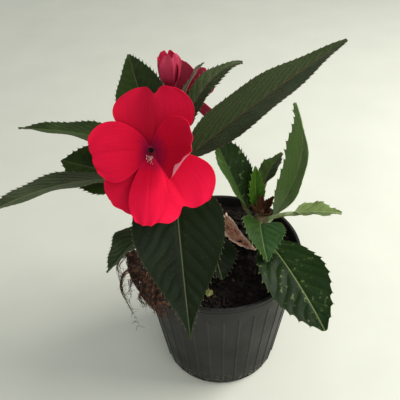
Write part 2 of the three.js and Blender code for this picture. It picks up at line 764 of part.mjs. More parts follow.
// Petals joined to the bloom's heart, which lies behind them. Each starts a little way out from the middle,
// by reach.
function petalsGeometry(petals, heart, common = {}) {
  const core = new THREE.SphereGeometry(heart.radius, HEART_FLAT.sides, HEART_FLAT.rows);
  core.rotateX(Math.PI / 2);
  core.scale(1, 1, HEART_FLAT.squash);
  core.translate(0, 0, -HEART_FLAT.sink * heart.radius);
  const blades = petals.map((own) => {
    const turn = rad(own.heading[0]);
    const foot = [heart.reach * Math.cos(turn), heart.reach * Math.sin(turn), own.lift];
    return petalGeometry({ roll: [0, 0], ...common, ...own, foot });
  });
  const whole = unite([core, ...blades]);
  const opened = heart.throat ? whole.subtract(throatSolid(heart)) : whole;
  return geometryOf(opened.simplify(SLACK.petal));
}

const petalFinish = material(COLOUR.petal, 0.55);
const front = bloomFrame(FRONT_BLOOM.place, FRONT_BLOOM.tilt, FRONT_BLOOM.turn);
front.add(piece("bloom_front_petals", petalsGeometry(FRONT_PETALS, FRONT_HEART), petalFinish));
plant.add(front);

const shadePetalFinish = material(COLOUR.shadePetal, 0.55);
const bud = bloomFrame(BUD_BLOOM.place, BUD_BLOOM.tilt, BUD_BLOOM.turn);
bud.add(piece("bloom_bud_petals", petalsGeometry(BUD_PETALS, BUD_HEART, SMALL_PETAL), shadePetalFinish));
plant.add(bud);

const back = bloomFrame(BACK_BLOOM.place, BACK_BLOOM.tilt, BACK_BLOOM.turn);
back.add(piece("bloom_back_petals", petalsGeometry(BACK_PETALS, BACK_HEART, SMALL_PETAL), shadePetalFinish));
plant.add(back);

// A bloom's stalk from the stem to just behind its heart, where it widens to a cap and its spur leaves it.
function stalkGeometry(group, heart, path, spur) {
  group.updateMatrixWorld(true);
  const back = (x, y, z) => vec(x, y, z).applyMatrix4(group.matrixWorld).toArray();
  const behind = -STALK_CAP.behind * heart.radius - CLEAR;
  const join = back(0, 0, behind - STALK_CAP.length);
  const end = back(0, 0, behind);
  const cap = rodGeometry([[...join, STALK_CAP.foot], [...end, STALK_CAP.top]], 7, 1);
  const pedicel = rodGeometry([...path, [...join, 1.2]], 6, 7);
  const tail = spur.map(([x, y, z, radius]) => [...back(x, y, z), radius]);
  const spurRod = rodGeometry([[...join, 1.1], ...tail], 5, 6);
  return geometryOf(unite([cap, pedicel, spurRod]).simplify(SLACK.rod));
}

const stalkFinish = material(COLOUR.stalk, 0.5);
function addStalk(name, ...stalk) {
  plant.add(piece(name, stalkGeometry(...stalk), stalkFinish));
}
addStalk("bloom_front_stalk", front, FRONT_HEART, FRONT_PATH, FRONT_SPUR);
addStalk("bloom_bud_stalk", bud, BUD_HEART, BUD_PATH, BUD_SPUR);
addStalk("bloom_back_stalk", back, BACK_HEART, BACK_PATH, BACK_SPUR);

const columnFinish = material(COLOUR.column, 0.5);
front.add(piece("bloom_front_column", rodGeometry(FRONT_COLUMN, 8, 5), columnFinish));

// The dead leaf and the fallen bud

plant.add(piece("withered_leaf", leafGeometry(WITHERED), material(COLOUR.withered, 0.8)));

// An uneven lump of about the given half sizes. Each seed gives another form.
function lumpGeometry(size, seed) {
  const lump = new THREE.IcosahedronGeometry(1, 1);
  const position = lump.attributes.position;
  for (let i = 0; i < position.count; i += 1) {
    const [x, y, z] = [position.getX(i), position.getY(i), position.getZ(i)];
    const broad = 0.16 * Math.sin(4.1 * x + seed) * Math.cos(3.7 * y - seed);
    const swell = 1 + broad + 0.1 * Math.sin(7 * z + 2 * seed);
    position.setXYZ(i, x * swell * size[0], y * swell * size[1], z * swell * size[2]);
  }
  return lump;
}

const fallenLump = lumpGeometry(FALLEN.size, 1);
fallenLump.translate(...FALLEN.at, soilHeight(...FALLEN.at) + FALLEN.size[2] * FALLEN.above);
const fallen = solid(fallenLump).subtract(soilSolid(CLEAR));
plant.add(piece("fallen_bud", geometryOf(fallen), material(COLOUR.bud, 0.7)));

// Roots over the pot's left rim

// The pot's wall and rim with a little room round them.
function rimRoom() {
  const top = POT.height + CLEAR;
  const tall = top - POT.chamfer;
  const wall = (radiusAt, reach, height) => {
    const [high, low] = [radiusAt(top) + reach, radiusAt(POT.chamfer) + reach];
    const cone = new THREE.CylinderGeometry(high, low, height, 48);
    cone.rotateX(Math.PI / 2);
    cone.translate(0, 0, POT.chamfer + tall / 2);
    return solid(cone);
  };
  return wall(outerWall, POT.collarStep + CLEAR, tall).subtract(wall(innerWall, -CLEAR, tall + 2));
}

function rootMatGeometry() {
  const lumps = RIM_LUMPS.map(({ turn, out, size }, i) => {
    const lump = lumpGeometry(size, i);
    lump.translate(POT.rimRadius - 1 + out, 0, POT.height);
    lump.rotateZ(rad(turn));
    return lump;
  });
  const strands = STRANDS.map((stations) => rodGeometry(stations, 5, 6));
  const mat = unite([...lumps, ...strands]).subtract(rimRoom()).subtract(soilSolid(CLEAR));
  return geometryOf(mat.simplify(SLACK.root));
}
plant.add(piece("root_mat", rootMatGeometry(), material(COLOUR.roots, 0.9)));

// The reddish heart of the side shoot

function heartGeometry() {
  const { radius, above, rise, leavesAt, sides, rows } = HEART_KNOB;
  const [x, y, top] = SIDE_STEM[SIDE_STEM.length - 1];
  const seat = top + CLEAR + above;
  const core = new THREE.SphereGeometry(radius, sides, rows);
  core.translate(x, y, seat + rise);
  const foot = [x, y, seat + leavesAt];
  const leaves = HEART_LEAVES.map((own) => leafGeometry({ ...HEART_LEAF, ...own, foot }));
  return geometryOf(unite([core, ...leaves]).simplify(SLACK.rod));
}
plant.add(piece("side_heart", heartGeometry(), material(COLOUR.heart, 0.6)));

export default plant;
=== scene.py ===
"""A New Guinea impatiens in a nursery pot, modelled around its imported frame.

The tables and sizes in this file are in millimetres and degrees, and MM turns a length into metres. Only the
floor, the lamps and the camera are set out in metres. +Z is up and -Y is the front, the side that the open
bloom faces.
"""

import math

import bpy
import numpy as np
from mathutils import Euler, Matrix, Vector


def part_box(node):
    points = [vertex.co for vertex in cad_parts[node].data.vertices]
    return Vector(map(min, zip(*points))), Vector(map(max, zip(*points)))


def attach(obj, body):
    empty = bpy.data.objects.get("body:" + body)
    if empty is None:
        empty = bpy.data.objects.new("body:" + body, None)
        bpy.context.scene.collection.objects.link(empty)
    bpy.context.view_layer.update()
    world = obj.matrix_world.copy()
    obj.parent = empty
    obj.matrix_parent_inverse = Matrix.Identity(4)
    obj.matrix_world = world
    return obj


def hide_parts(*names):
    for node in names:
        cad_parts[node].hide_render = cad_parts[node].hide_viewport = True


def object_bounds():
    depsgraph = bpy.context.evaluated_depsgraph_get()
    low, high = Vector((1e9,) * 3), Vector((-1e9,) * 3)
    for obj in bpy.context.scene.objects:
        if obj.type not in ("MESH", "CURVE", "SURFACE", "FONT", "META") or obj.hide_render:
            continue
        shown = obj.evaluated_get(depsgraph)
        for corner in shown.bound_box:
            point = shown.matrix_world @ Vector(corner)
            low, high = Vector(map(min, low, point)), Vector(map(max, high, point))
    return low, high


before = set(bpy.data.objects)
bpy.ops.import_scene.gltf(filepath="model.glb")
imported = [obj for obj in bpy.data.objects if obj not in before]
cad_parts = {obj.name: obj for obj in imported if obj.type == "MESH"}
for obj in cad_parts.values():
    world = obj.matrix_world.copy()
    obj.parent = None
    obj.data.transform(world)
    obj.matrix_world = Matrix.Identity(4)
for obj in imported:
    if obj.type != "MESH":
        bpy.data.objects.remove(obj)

CAD_BOX = [list(corner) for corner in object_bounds()]

bl_info = {
    "name": "Potted New Guinea impatiens",
    "version": (1, 0, 0),
    "blender": (4, 5, 0),
    "location": "3D View > Sidebar > Impatiens",
    "description": "Builds the blooms, leaves, roots, soil and pot around the packed frame",
    "category": "Object",
}

MM = 0.001
SEED = 7
# Corners of a rod closer than WELD are one corner, and corners of a turned piece closer than SEAM.
WELD = 0.0005 * MM
SEAM = 0.01 * MM


def colour(code, bright=1):
    """An sRGB hex value such as #D0112F as a linear colour with alpha, made brighter by a factor."""
    shares = [int(code[i:i + 2], 16) / 255 for i in (1, 3, 5)]
    linear = [s / 12.92 if s <= 0.04045 else ((s + 0.055) / 1.055) ** 2.4 for s in shares]
    return (*(min(1, level * bright) for level in linear), 1)


# Stems. Stations are x, y, z and radius, from the buried end up.
MAIN_STEM = [(-14, 8, 60, 4.6), (-17, 8, 90, 4.6), (-20, 7, 118, 4.2), (-24, 5, 146, 3.8), (-27, 4, 172, 3.0)]
SIDE_STEM = [(20, 8, 66, 3.8), (22, 8, 90, 3.8), (26, 7, 106, 3.4), (27.5, 6, 115, 3.0)]
# A stem swells where a stalk leaves it: by how much, and over what length.
JOINT_SWELL = 0.25
JOINT_REACH = 1.8

# Leaves. Heading, pitch and roll run from the stalk's foot to the tip. Base and taper give the outline.
# Teeth are counted along one margin, and veins on one side of the rib.
LEAF = dict(
    stalk=10, stalk_radius=1.4, bend=1, fold=12, cup=0, wave=0.7, waves=2.5, teeth=24, tooth=0.6,
    base=0.8, taper=1.15, veins=9, sweep=0.8, relief=0.4, roll=(0, 0), jagged=(1, 1), crumple=0,
    stem=MAIN_STEM, look="dark", slot="dark_leaf",
)
LEAVES = {
    "leaf_front": dict(
        z=158, heading=(-87, -83), pitch=(-26, -53), bend=0.8, stalk=8, length=88, width=51,
        roll=(3, -12), fold=9, base=0.7, taper=1.6, teeth=30, relief=0.6, jagged=(0.6, 0.6),
        look="front",
    ),
    "leaf_top_left": dict(
        z=163, heading=(130, 100), pitch=(51, 25), length=56, width=31,
        roll=(31, 38), fold=10, teeth=20, jagged=(0.4, 0.9),
    ),
    "leaf_left_upper": dict(
        z=160, heading=(174, 180), pitch=(31, 1), stalk=13, length=71, width=24,
        roll=(0, -16), teeth=22, sweep=1.8, jagged=(0.4, 1.1),
    ),
    "leaf_left_lower": dict(
        z=141, heading=(-170, -131), pitch=(29, 0), stalk=32, length=77, width=25,
        roll=(-18, -10), fold=10, sweep=1.8, jagged=(0.6, 1.3), look="grey",
    ),
    "leaf_left_behind": dict(
        z=147, heading=(182, 162), pitch=(11, 7), stalk=20, length=45, width=36,
        roll=(17, 25), fold=10, base=0.83, taper=1.12, teeth=18, veins=7,
    ),
    "leaf_right_long": dict(
        z=157, heading=(27, 28), pitch=(28, 17), stalk=5, length=120, width=33,
        roll=(-5, 6), base=0.58, taper=1, teeth=32, tooth=0.5, veins=15, sweep=2.2, relief=0.35,
        jagged=(0.7, 1.2), look="bronze",
    ),
    "leaf_top_right": dict(
        z=167, heading=(42, 37), pitch=(66, -16), bend=1.6, stalk=8, length=60, width=12,
        roll=(-8, -16), fold=16, teeth=20, sweep=1.6, jagged=(0.6, 1.2), look="bronze",
    ),
    "leaf_top_edge": dict(
        z=168, heading=(78, 49), pitch=(63, 12), stalk=12, length=43, width=8,
        roll=(68, 66), fold=5, teeth=12, tooth=0.3, look="bronze",
    ),
    "leaf_low_left": dict(
        z=128, heading=(-133, -140), pitch=(6, -36), stalk=25, length=35, width=35,
        roll=(-6, -39), fold=14, base=0.85, taper=1.1, teeth=18, veins=6,
    ),
    "leaf_low_front": dict(
        z=112, heading=(-50, -80), pitch=(-6, -34), stalk=14, length=28, width=27,
        roll=(8, 12), fold=10, teeth=14, veins=5, look="front",
    ),
}
YOUNG = dict(slot="young_leaf", stem=SIDE_STEM, tooth=0.8)
YOUNG_LEAVES = {
    "young_leaf_up_left": dict(
        YOUNG, z=109, heading=(159, 142), pitch=(68, 60), stalk=9, length=51, width=27,
        roll=(-6, 9), fold=28, base=0.86, taper=0.8, teeth=18, veins=7, sweep=1.2, relief=0.6,
        jagged=(0.5, 0.8), look="deep",
    ),
    "young_leaf_tall": dict(
        YOUNG, z=104, heading=(21, 28), pitch=(43, 118), stalk=8, length=85, width=27,
        roll=(9, 7), fold=14, base=0.86, teeth=12, taper=1.2, sweep=2, jagged=(1.5, 0.4), look="lit",
    ),
    "young_leaf_right": dict(
        YOUNG, z=112.5, heading=(-8, -12), pitch=(27, -6), stalk=17, length=29, width=18,
        roll=(18, 11), fold=14, teeth=8, veins=5, look="pale",
    ),
    "young_leaf_small": dict(
        YOUNG, z=113, heading=(113, 110), pitch=(74, 86), stalk=3, length=30, width=11,
        roll=(6, 6), fold=26, teeth=7, veins=6, jagged=(1.3, 0.6), look="fresh",
    ),
    "young_leaf_behind": dict(
        YOUNG, z=112, heading=(87, 44), pitch=(46, 5), stalk=20, length=28, width=14,
        roll=(14, 19), fold=14, teeth=8, veins=5, jagged=(0.5, 0.5), look="dark",
    ),
    "young_leaf_drooping": dict(
        YOUNG, z=112, heading=(-100, -78), pitch=(40, -45), stalk=3, length=33, width=28,
        roll=(13, 18), fold=24, base=0.77, taper=1.27, teeth=14, veins=6, jagged=(0.6, 1),
        look="blue",
    ),
    "young_leaf_broad": dict(
        YOUNG, z=103, heading=(-74, -58), pitch=(20, -42), length=69, width=38,
        roll=(21, -27), fold=10, base=0.87, taper=1.02, teeth=13, veins=7, relief=0.8, look="broad",
    ),
}
TIP_HALF = 0.45
ROWS_PER_TOOTH = 5
LEAF_COLUMNS = 30

# Each look gives the leaf's green, its darker shade, veins, midrib, margin, underside, stalk, specks and left
# flank, then how much its veins, rib and specks show, how much grey wax lies on it and how pale its foot is.
# The flank colour is painted light on the blade's left half, mostly paler than the green.
LOOK_PARTS = (
    "green", "shade", "vein", "rib", "edge", "under", "stalk", "speck", "flank",
    "lines", "rib_shown", "specks", "wax", "foot",
)
LOOKS = {name: dict(zip(LOOK_PARTS, row)) for name, *row in [
    ("dark", "#27380F", "#18240A", "#3C4D22", "#56643A", "#3A4A24", "#465430", "#5E4232", "#56633A",
     "#2E4014", 0.45, 0.5, 0.06, 0.03, 0.15),
    ("front", "#101C08", "#0A1205", "#222F16", "#5A6744", "#3A4828", "#3C4A2C", "#6A4C3A", "#56643C",
     "#101C08", 0.4, 0.5, 0.05, 0, 0.15),
    ("grey", "#303A20", "#1F2814", "#535C3E", "#6A7450", "#424E2E", "#4E5A3A", "#5E4232", "#5A6840",
     "#384426", 0.55, 0.6, 0.06, 0.09, 0.15),
    ("bronze", "#1A280D", "#101A07", "#586442", "#46442C", "#34381F", "#5A3C32", "#7A4438", "#4A583A",
     "#2E3A1A", 0.8, 0.45, 0.04, 0.06, 0.15),
    ("deep", "#1A2E0C", "#101E07", "#3A5624", "#4E6A34", "#5A7A42", "#4E6A34", "#6E5E3C", "#869C5E",
     "#3A5622", 0.45, 0.35, 0.4, 0.01, 0.15),
    ("blue", "#264012", "#182E0C", "#3E5C28", "#5E7C44", "#5A7842", "#4E6A34", "#76703F", "#6E8A4A",
     "#284424", 0.4, 0.6, 0.1, 0.04, 0.15),
    ("fresh", "#3E6418", "#2C4E12", "#567A2A", "#6A8A34", "#6A8A34", "#5E7E30", "#76703F", "#8A9E4A",
     "#3E6418", 0.4, 0.4, 0.15, 0.03, 0.15),
    ("lit", "#5E8038", "#466626", "#8CA86C", "#AEBE92", "#5E7840", "#5A7A42", "#7E8E50", "#96AC72",
     "#688A46", 0.65, 0.6, 0.15, 0.03, 0.5),
    ("pale", "#5E6E3E", "#48582C", "#8A9A68", "#A8B688", "#6A7A48", "#5A7040", "#66793C", "#8A9A66",
     "#66783E", 0.5, 0.5, 0.15, 0.03, 0.5),
    # The broad look's green and shade are painted dark, as painted shade on the half without the flank.
    ("broad", "#0E2004", "#081402", "#2A4416", "#7A8E58", "#34501F", "#4E6A34", "#7A6E44", "#7C8A4E",
     "#14290A", 0.5, 0.6, 0.4, 0, 0.15),
    ("heart", "#3A1E12", "#241009", "#4E2E1C", "#5E3E24", "#544626", "#4A2A1E", "#5A2E22", "#5A5230",
     "#3A1E12", 0.4, 0.4, 0.2, 0.02, 0.15),
]}

# Petals. Claw is the half width at the foot, peak is where a petal is widest, and the notch dips its end.
# Painted shade darkens a petal at three places across it, where shade falls in its folds and under other
# petals.
PETAL = dict(
    stalk=0, stalk_radius=1.5, bend=1, fold=6, cup=0.15, wave=0.6, waves=1, claw=3, peak=0.62,
    notch=0.12, notch_width=0.25, notch_at=0, drop=0.06, roll=(0, 0), painted_shade=(1, 1, 1),
)
PETAL_END = 0.58
# A petal longer than this has the finer grid.
LARGE_PETAL = 26
PETAL_GRID = 28
LARGE_GRID = 48
PAINTED_SHADE_PLACES = (-0.8, -0.1, 0.5)
# The heart is darkened too, as painted shade among the petals' feet.
CORE_PAINTED_SHADE = 0.8
CORE_MARGIN = 5

# Blooms. A path is in the plant's frame, and a spur in the bloom's own frame, as x, y, z and radius.
# Radius is the heart's, and reach is how far from its middle the petals start.
BLOOMS = {
    "bloom_front": dict(
        slot="petal", place=(-35, -20, 183), tilt=56, turn=4, radius=5, reach=2.2, throat=1.9,
        petals=[
            dict(lift=-0.5, heading=(78, 90), pitch=(24, 4), length=32, width=40.6,
                 notch_width=0.2, notch_at=0.05, fold=-5, cup=0.35, painted_shade=(0.68, 0.48, 0.7)),
            dict(lift=0.9, heading=(169, 189), pitch=(31, -11), roll=(2, 5), length=29, width=30.5,
                 notch=0.02, painted_shade=(0.84, 0.84, 0.84)),
            dict(lift=-0.4, heading=(241, 236), pitch=(12, -14), length=32, width=31, notch=0.02,
                 drop=0.12, fold=8, painted_shade=(0.8, 0.8, 0.8)),
            dict(lift=-0.2, heading=(263, 260), pitch=(44, -25), length=38, width=20, notch=0.01, claw=1.9,
                 peak=0.66, fold=-7, cup=-0.15),
            dict(lift=-1.8, heading=(302, 293), pitch=(0, -6), roll=(0, 9), length=34.5, width=43,
                 notch_at=0.12, drop=0.01),
            dict(lift=0.6, heading=(10, -27), pitch=(15, 98), length=34, width=32, notch=0.02, fold=16,
                 cup=0.3, claw=5, peak=0.5, painted_shade=(0.8, 0.8, 0.8)),
        ],
        path=[(-28.2, 2.6, 172.9, 1.3), (-29.5, -1, 177, 1.2), (-33, -8, 178.6, 1.2)],
        spur=[(0, -8, -9, 0.9), (2, -20, -15, 0.8), (5, -33, -16, 0.5)],
    ),
    "bloom_bud": dict(
        slot="shade_petal", place=(-26, 34, 192.5), tilt=-4, turn=0, radius=4, reach=2.4, throat=0,
        petals=[
            dict(lift=-1.4, heading=(-60, -60), pitch=(70, 97), length=22, width=15, claw=2, fold=18),
            dict(lift=-1.4, heading=(184, 184), pitch=(64, 100), length=20, width=8, drop=0.5, claw=2),
            dict(lift=-1.4, heading=(95, 95), pitch=(74, 92), length=21, width=12, claw=2),
            dict(lift=-1.4, heading=(15, 15), pitch=(66, 100), length=18, width=10, claw=2),
        ],
        path=[(-27, 6, 172.9, 1.2), (-25.4, 11, 180, 1.1), (-24.6, 22, 186, 1.1), (-25.4, 31, 187, 1.1)],
        spur=[(-2, 5, -8, 0.9), (-4, 12, -14, 0.7), (-8, 20, -16, 0.5)],
    ),
    "bloom_back": dict(
        slot="shade_petal", place=(-18.6, 57.4, 172.6), tilt=-90, turn=-30, radius=4, reach=2, throat=1.2,
        petals=[
            dict(lift=0.9, heading=(-44, -44), pitch=(10, -10), length=24, width=18, claw=2),
            dict(lift=-0.9, heading=(24, 24), pitch=(10, -10), length=21, width=9, claw=2),
            dict(lift=0.9, heading=(104, 104), pitch=(14, -6), length=24, width=18, claw=2),
            dict(lift=-0.6, heading=(-100, -100), pitch=(14, -8), length=22, width=20, claw=2),
            dict(lift=0, heading=(168, 168), pitch=(14, -8), length=24, width=20, claw=2),
        ],
        path=[(-25.6, 8.9, 160, 1.2), (-25, 16, 166, 1.1), (-23, 34, 171, 1.1), (-20.5, 49, 172.6, 1.1)],
        spur=[(0, 8, -8, 0.9), (1, 20, -12, 0.7), (2, 30, -10, 0.5)],
    ),
}
# How far the throat stands off the heart's middle, and how deep it is cut.
THROAT_SHIFT = 1.2
THROAT_DEPTH = 12
FRONT_COLUMN = [(0, -2.2, 1.3, 1.3), (-0.2, -2.6, 3, 1.5), (-0.4, -3.6, 4.4, 0.7)]
ANTHERS = [
    (-2.3, -1.6, 3.2, 0.5), (-1.3, -2.2, 4, 0.5), (-0.3, -3, 4.2, 0.5), (-2.5, -2.9, 3.3, 0.45),
    (0.6, -2.5, 3.4, 0.45), (-1.3, -3.7, 4.2, 0.45), (-0.1, -4.5, 4.2, 0.4), (-2.1, -4.3, 3.6, 0.35),
    (-0.7, -5.3, 4, 0.35), (0.3, -5.8, 3.8, 0.25),
]

WITHERED = dict(
    foot=(6.5, 33, 93), heading=(-92, -36), pitch=(-4, 2), roll=(-25, -30), stalk=2, length=38, width=11,
    stalk_radius=0.8, fold=34, cup=0.5, wave=1, waves=3, teeth=10, tooth=0.4, veins=6, relief=0.3,
    crumple=0.8,
)
WITHERED_GRID = (24, 80)
HEART_SEAT = (27.5, 6, 116.9)
KNOB_SEAT = (27.5, 6, 117.1)
HEART_LEAF = dict(
    foot=HEART_SEAT, stalk=1, stalk_radius=1, fold=24, teeth=8, tooth=0.4, veins=4, relief=0.25, wave=0.3,
)
HEART_COLUMNS = 16
HEART_LEAVES = [
    dict(heading=(20, 20), pitch=(40, 70), length=12, width=7),
    dict(heading=(110, 110), pitch=(60, 84), length=11, width=6),
    dict(heading=(205, 205), pitch=(34, 66), length=12, width=7),
    dict(heading=(-70, -70), pitch=(20, 50), length=11, width=7),
]

# The roots over the rim: a section of radius and height, the turns they fill, the clumps on the rim, the
# section of the room that is left for the rim, and the hanging strands.
ROOT_SECTION = [(44, 91), (47.5, 95.5), (51.5, 99), (56, 97.5), (58.5, 93), (57.5, 88), (56, 82), (54.5, 76)]
ROOT_TURNS = (184, 235)
RIM_LUMPS = [(188, 0, (8, 7, 6)), (201, 1, (9, 9, 6)), (215, -1, (8, 9, 6)), (229, -2, (7, 8, 5))]
RIM_ROOM = [(50.1, 60), (52.9, 60), (52.9, 95.3), (50.1, 95.3), (50.1, 60)]
RIM_MIDDLE = 51.5
# The share of the table's half sizes that a clump is built with.
CLUMP_SHARE = 0.74
STRANDS = [
    [(-50, -8, 97, 2), (-57, -9, 100, 1.8), (-63, -14, 97, 1.5), (-61, -24, 94, 1.2), (-56, -30, 84, 1)],
    [(-52, -18, 96, 1.8), (-58, -22, 97, 1.5), (-61, -27, 90, 1.2), (-57, -33, 80, 1), (-52, -41, 70, 0.8)],
    [(-50, -22, 97, 1.6), (-55, -27, 94, 1.2), (-55, -30, 86, 0.9)],
    [(-44, -32, 96, 1.8), (-49, -37, 92, 1.2), (-46, -36, 82, 0.9)],
    [(-36, -38, 96, 1.8), (-41, -44, 93, 1.2), (-38, -43, 84, 0.9)],
]

# The pot and what it holds. Its height and rim come from the frame.
POT_LOW, POT_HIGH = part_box("pot")
POT_HEIGHT = (POT_HIGH.z - POT_LOW.z) / MM
POT_RIM = (POT_HIGH.x - POT_LOW.x) / 2 / MM
POT_FOOT = 39
POT_WALL = 1.2
POT_FLOOR = 2
COLLAR = 12
COLLAR_STEP = 0.9
SLOTS = 8
SLOT_SIZE = (9, 7, 3)
SLOT_HEIGHT = 2.3
# The ribs, with the half widths of a crest and a foot as angles on the wall. Each rib has its share of the
# wall, with eight corners from its own crest to the next one, and the lifts say how far they stand out.
RIBS = 32
RIB_CREST = 0.5 / 45
RIB_FOOT = 0.9 / 45
RIB_LIFTS = [1, 0.85, 0, 0, 0, 0, 0, 0.85]
RIB_LOW = 1.6
# How pale the rim and the step under the collar are laid: partly wear, partly painted highlight on their
# edges.
RIM_WEAR_AND_HIGHLIGHT = 0.9
STEP_WEAR_AND_HIGHLIGHT = 0.5
SOIL_LEVEL = 89
SOIL_LUMP = 1.3
SOIL_FOOT = 2.3
SOIL_EDGE = 88
SOIL_GAP = 0.45
# A stem's hole reaches out of the soil. Its shift and its length are shares of the way between the stem's
# first two points.
HOLE_SHIFT = 0.2
HOLE_LENGTH = 1.45
CRUMB_REACH = 47.5
CRUMB_LIMITS = (0.2, 3.2)
BARK_SHAPE = (2.6, 0.8, 0.5)
CLEAR = 0.3

# The camera, as it stood for the photograph.
VIEW_ANGLE = 40
CAMERA_PLACE = (-0.011, -0.2538, 0.3417)
CAMERA_TILT = 39.3
CAMERA_ROLL = -2.2

# The floor's side and the lamps: name, place, side, share of the key's power and colour.
FLOOR_SIDE = 6
LAMP_AIM = (0, 0, 0.1)
LAMPS = [
    ("key_light", (0.66, 0.06, 0.62), 0.6, 1, "#FFFDF8"),
    ("fill_light", (0.25, -0.75, 0.6), 0.8, 0.3, "#FFFFFF"),
]


# Building helpers

def lerp(a, b, share):
    return a + (b - a) * share


def smoothstep(value, low, high):
    share = np.clip((value - low) / (high - low), 0, 1)
    return share * share * (3 - 2 * share)


def select_only(*objects):
    bpy.ops.object.select_all(action="DESELECT")
    for item in objects:
        item.select_set(True)
    bpy.context.view_layer.objects.active = objects[0]


def places_of(item):
    """The vertices of a mesh object, as rows of x, y and z."""
    flat = np.empty(len(item.data.vertices) * 3, np.float32)
    item.data.vertices.foreach_get("co", flat)
    return flat.reshape(-1, 3).astype(float)


def move_vertices(item, places):
    item.data.vertices.foreach_set("co", np.asarray(places, np.float32).ravel())
    item.data.update()


def store(item, name, values):
    """Keeps one number for each vertex, for a material to read."""
    kept = item.data.attributes.new(name, "FLOAT", "POINT")
    kept.data.foreach_set("value", np.asarray(values, np.float32))


def shift(item, step):
    """Moves the vertices by a step of x, y and z in mm."""
    move_vertices(item, places_of(item) + np.array(step) * MM)


def dress(item, *finishes):
    """Gives a piece its materials."""
    for finish in finishes:
        item.data.materials.append(finish)
    return item


def added(shape, **settings):
    """What one of Blender's own add operators makes."""
    bpy.ops.object.select_all(action="DESELECT")
    shape(**settings)
    return bpy.context.object


def weld(reach):
    """Makes corners that lie together one, turns the faces outward and leaves edit mode."""
    bpy.ops.mesh.select_all(action="SELECT")
    bpy.ops.mesh.remove_doubles(threshold=reach)
    bpy.ops.mesh.normals_make_consistent(inside=False)
    bpy.ops.object.mode_set(mode="OBJECT")


def apply_modifier(item, kind, **settings):
    select_only(item)
    modifier = item.modifiers.new(kind.title(), kind)
    for key, value in settings.items():
        setattr(modifier, key, value)
    bpy.ops.object.modifier_apply(modifier=modifier.name)


def join(items):
    select_only(*items)
    if len(items) > 1:
        bpy.ops.object.join()
    return items[0]


def keep_inside(item):
    """Draws a piece in by a hair where it would stand out of the frame's box."""
    places = places_of(item)
    least, most = places.min(axis=0), places.max(axis=0)
    low, high = np.maximum(least, CAD_BOX[0]), np.minimum(most, CAD_BOX[1])
    move_vertices(item, low + (places - least) * (high - low) / (most - least))


def finish_piece(item, name, slot, *nodes, sharp=50):
    """Gives a finished piece its name, smooth shading and body, and hides the frame's nodes that it stands
    for.
    The slot is not used.
    """
    item.name = name
    item.data.name = name
    select_only(item)
    bpy.ops.object.transform_apply(location=True, rotation=True, scale=True)
    keep_inside(item)
    bpy.ops.object.shade_smooth_by_angle(angle=math.radians(sharp))
    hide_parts(*nodes)
    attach(item, "root")


def sheet(columns, rows):
    """A flat grid, with the place of each vertex across it, from -1 to 1, and along it, from 0 to 1."""
    made = added(bpy.ops.mesh.primitive_grid_add, x_subdivisions=columns, y_subdivisions=rows, size=2)
    flat = places_of(made)
    return made, flat[:, 0], (flat[:, 1] + 1) / 2


def smooth_path(stations, per_span=8):
    """More points on a smooth curve through the stations. All their columns are smoothed alike."""
    line = np.array(stations, float)
    ends = np.vstack([2 * line[0] - line[1], line, 2 * line[-1] - line[-2]])
    made = []
    for a, b, c, d in zip(ends, ends[1:], ends[2:], ends[3:]):
        for s in np.arange(per_span) / per_span:
            made.append(0.5 * (
                2 * b + (c - a) * s + (2 * a - 5 * b + 4 * c - d) * s * s + (3 * b - a - 3 * c + d) * s ** 3
            ))
    return np.array(made + [line[-1]])


def rods(paths, roundness=3):
    """Round closed rods along paths of x, y, z and radius, all in one mesh."""
    made = added(bpy.ops.curve.primitive_nurbs_path_add)
    made.data.splines.clear()
    for path in paths:
        spline = made.data.splines.new("POLY")
        spline.points.add(len(path) - 1)
        path = np.asarray(path, float)
        corners = np.hstack([path[:, :3] * MM, np.ones((len(path), 1))])
        spline.points.foreach_set("co", corners.astype(np.float32).ravel())
        spline.points.foreach_set("radius", path[:, 3].astype(np.float32))
    made.data.dimensions = "3D"
    made.data.twist_mode = "MINIMUM"
    made.data.bevel_depth = MM
    made.data.bevel_resolution = roundness
    made.data.use_fill_caps = True
    made.data.use_path = False
    bpy.ops.object.convert(target="MESH")
    made = bpy.context.object
    made.matrix_world = Matrix.Identity(4)
    bpy.ops.object.mode_set(mode="EDIT")
    weld(WELD)
    return made


def lathe(profile, steps):
    """Spins a profile of radius and height once round the Z axis and closes its poles and its seam."""
    made = added(bpy.ops.mesh.primitive_plane_add, size=MM)
    bpy.ops.object.mode_set(mode="EDIT")
    bpy.ops.mesh.select_all(action="SELECT")
    bpy.ops.mesh.merge(type="CENTER")
    before = (0, 0)
    for radius, height in profile:
        step = ((radius - before[0]) * MM, 0, (height - before[1]) * MM)
        if before == (0, 0) and (radius, height) == profile[0]:
            bpy.ops.transform.translate(value=step)
        else:
            bpy.ops.mesh.extrude_region_move(TRANSFORM_OT_translate={"value": step})
        before = (radius, height)
    bpy.ops.mesh.select_all(action="SELECT")
    bpy.ops.mesh.spin(steps=steps, angle=2 * math.pi, center=(0, 0, 0), axis=(0, 0, 1))
    weld(SEAM)
    return made


def lump(size, detail, roughness, seed):
    """An uneven lump of about the given half sizes, in mm, made from a ball of triangles."""
    made = added(bpy.ops.mesh.primitive_ico_sphere_add, subdivisions=detail, radius=1)
    ball = places_of(made)
    x, y, z = ball.T
    swell = 1 + 0.16 * np.sin(4.1 * x + seed) * np.cos(3.7 * y - seed) + 0.1 * np.sin(7 * z + 2 * seed)
    swell += roughness * np.sin(13 * x + 3 * seed) * np.sin(11 * y - seed) * np.sin(12 * z + 5 * seed)
    move_vertices(made, ball * swell[:, None] * np.array(size) * MM)
    return made


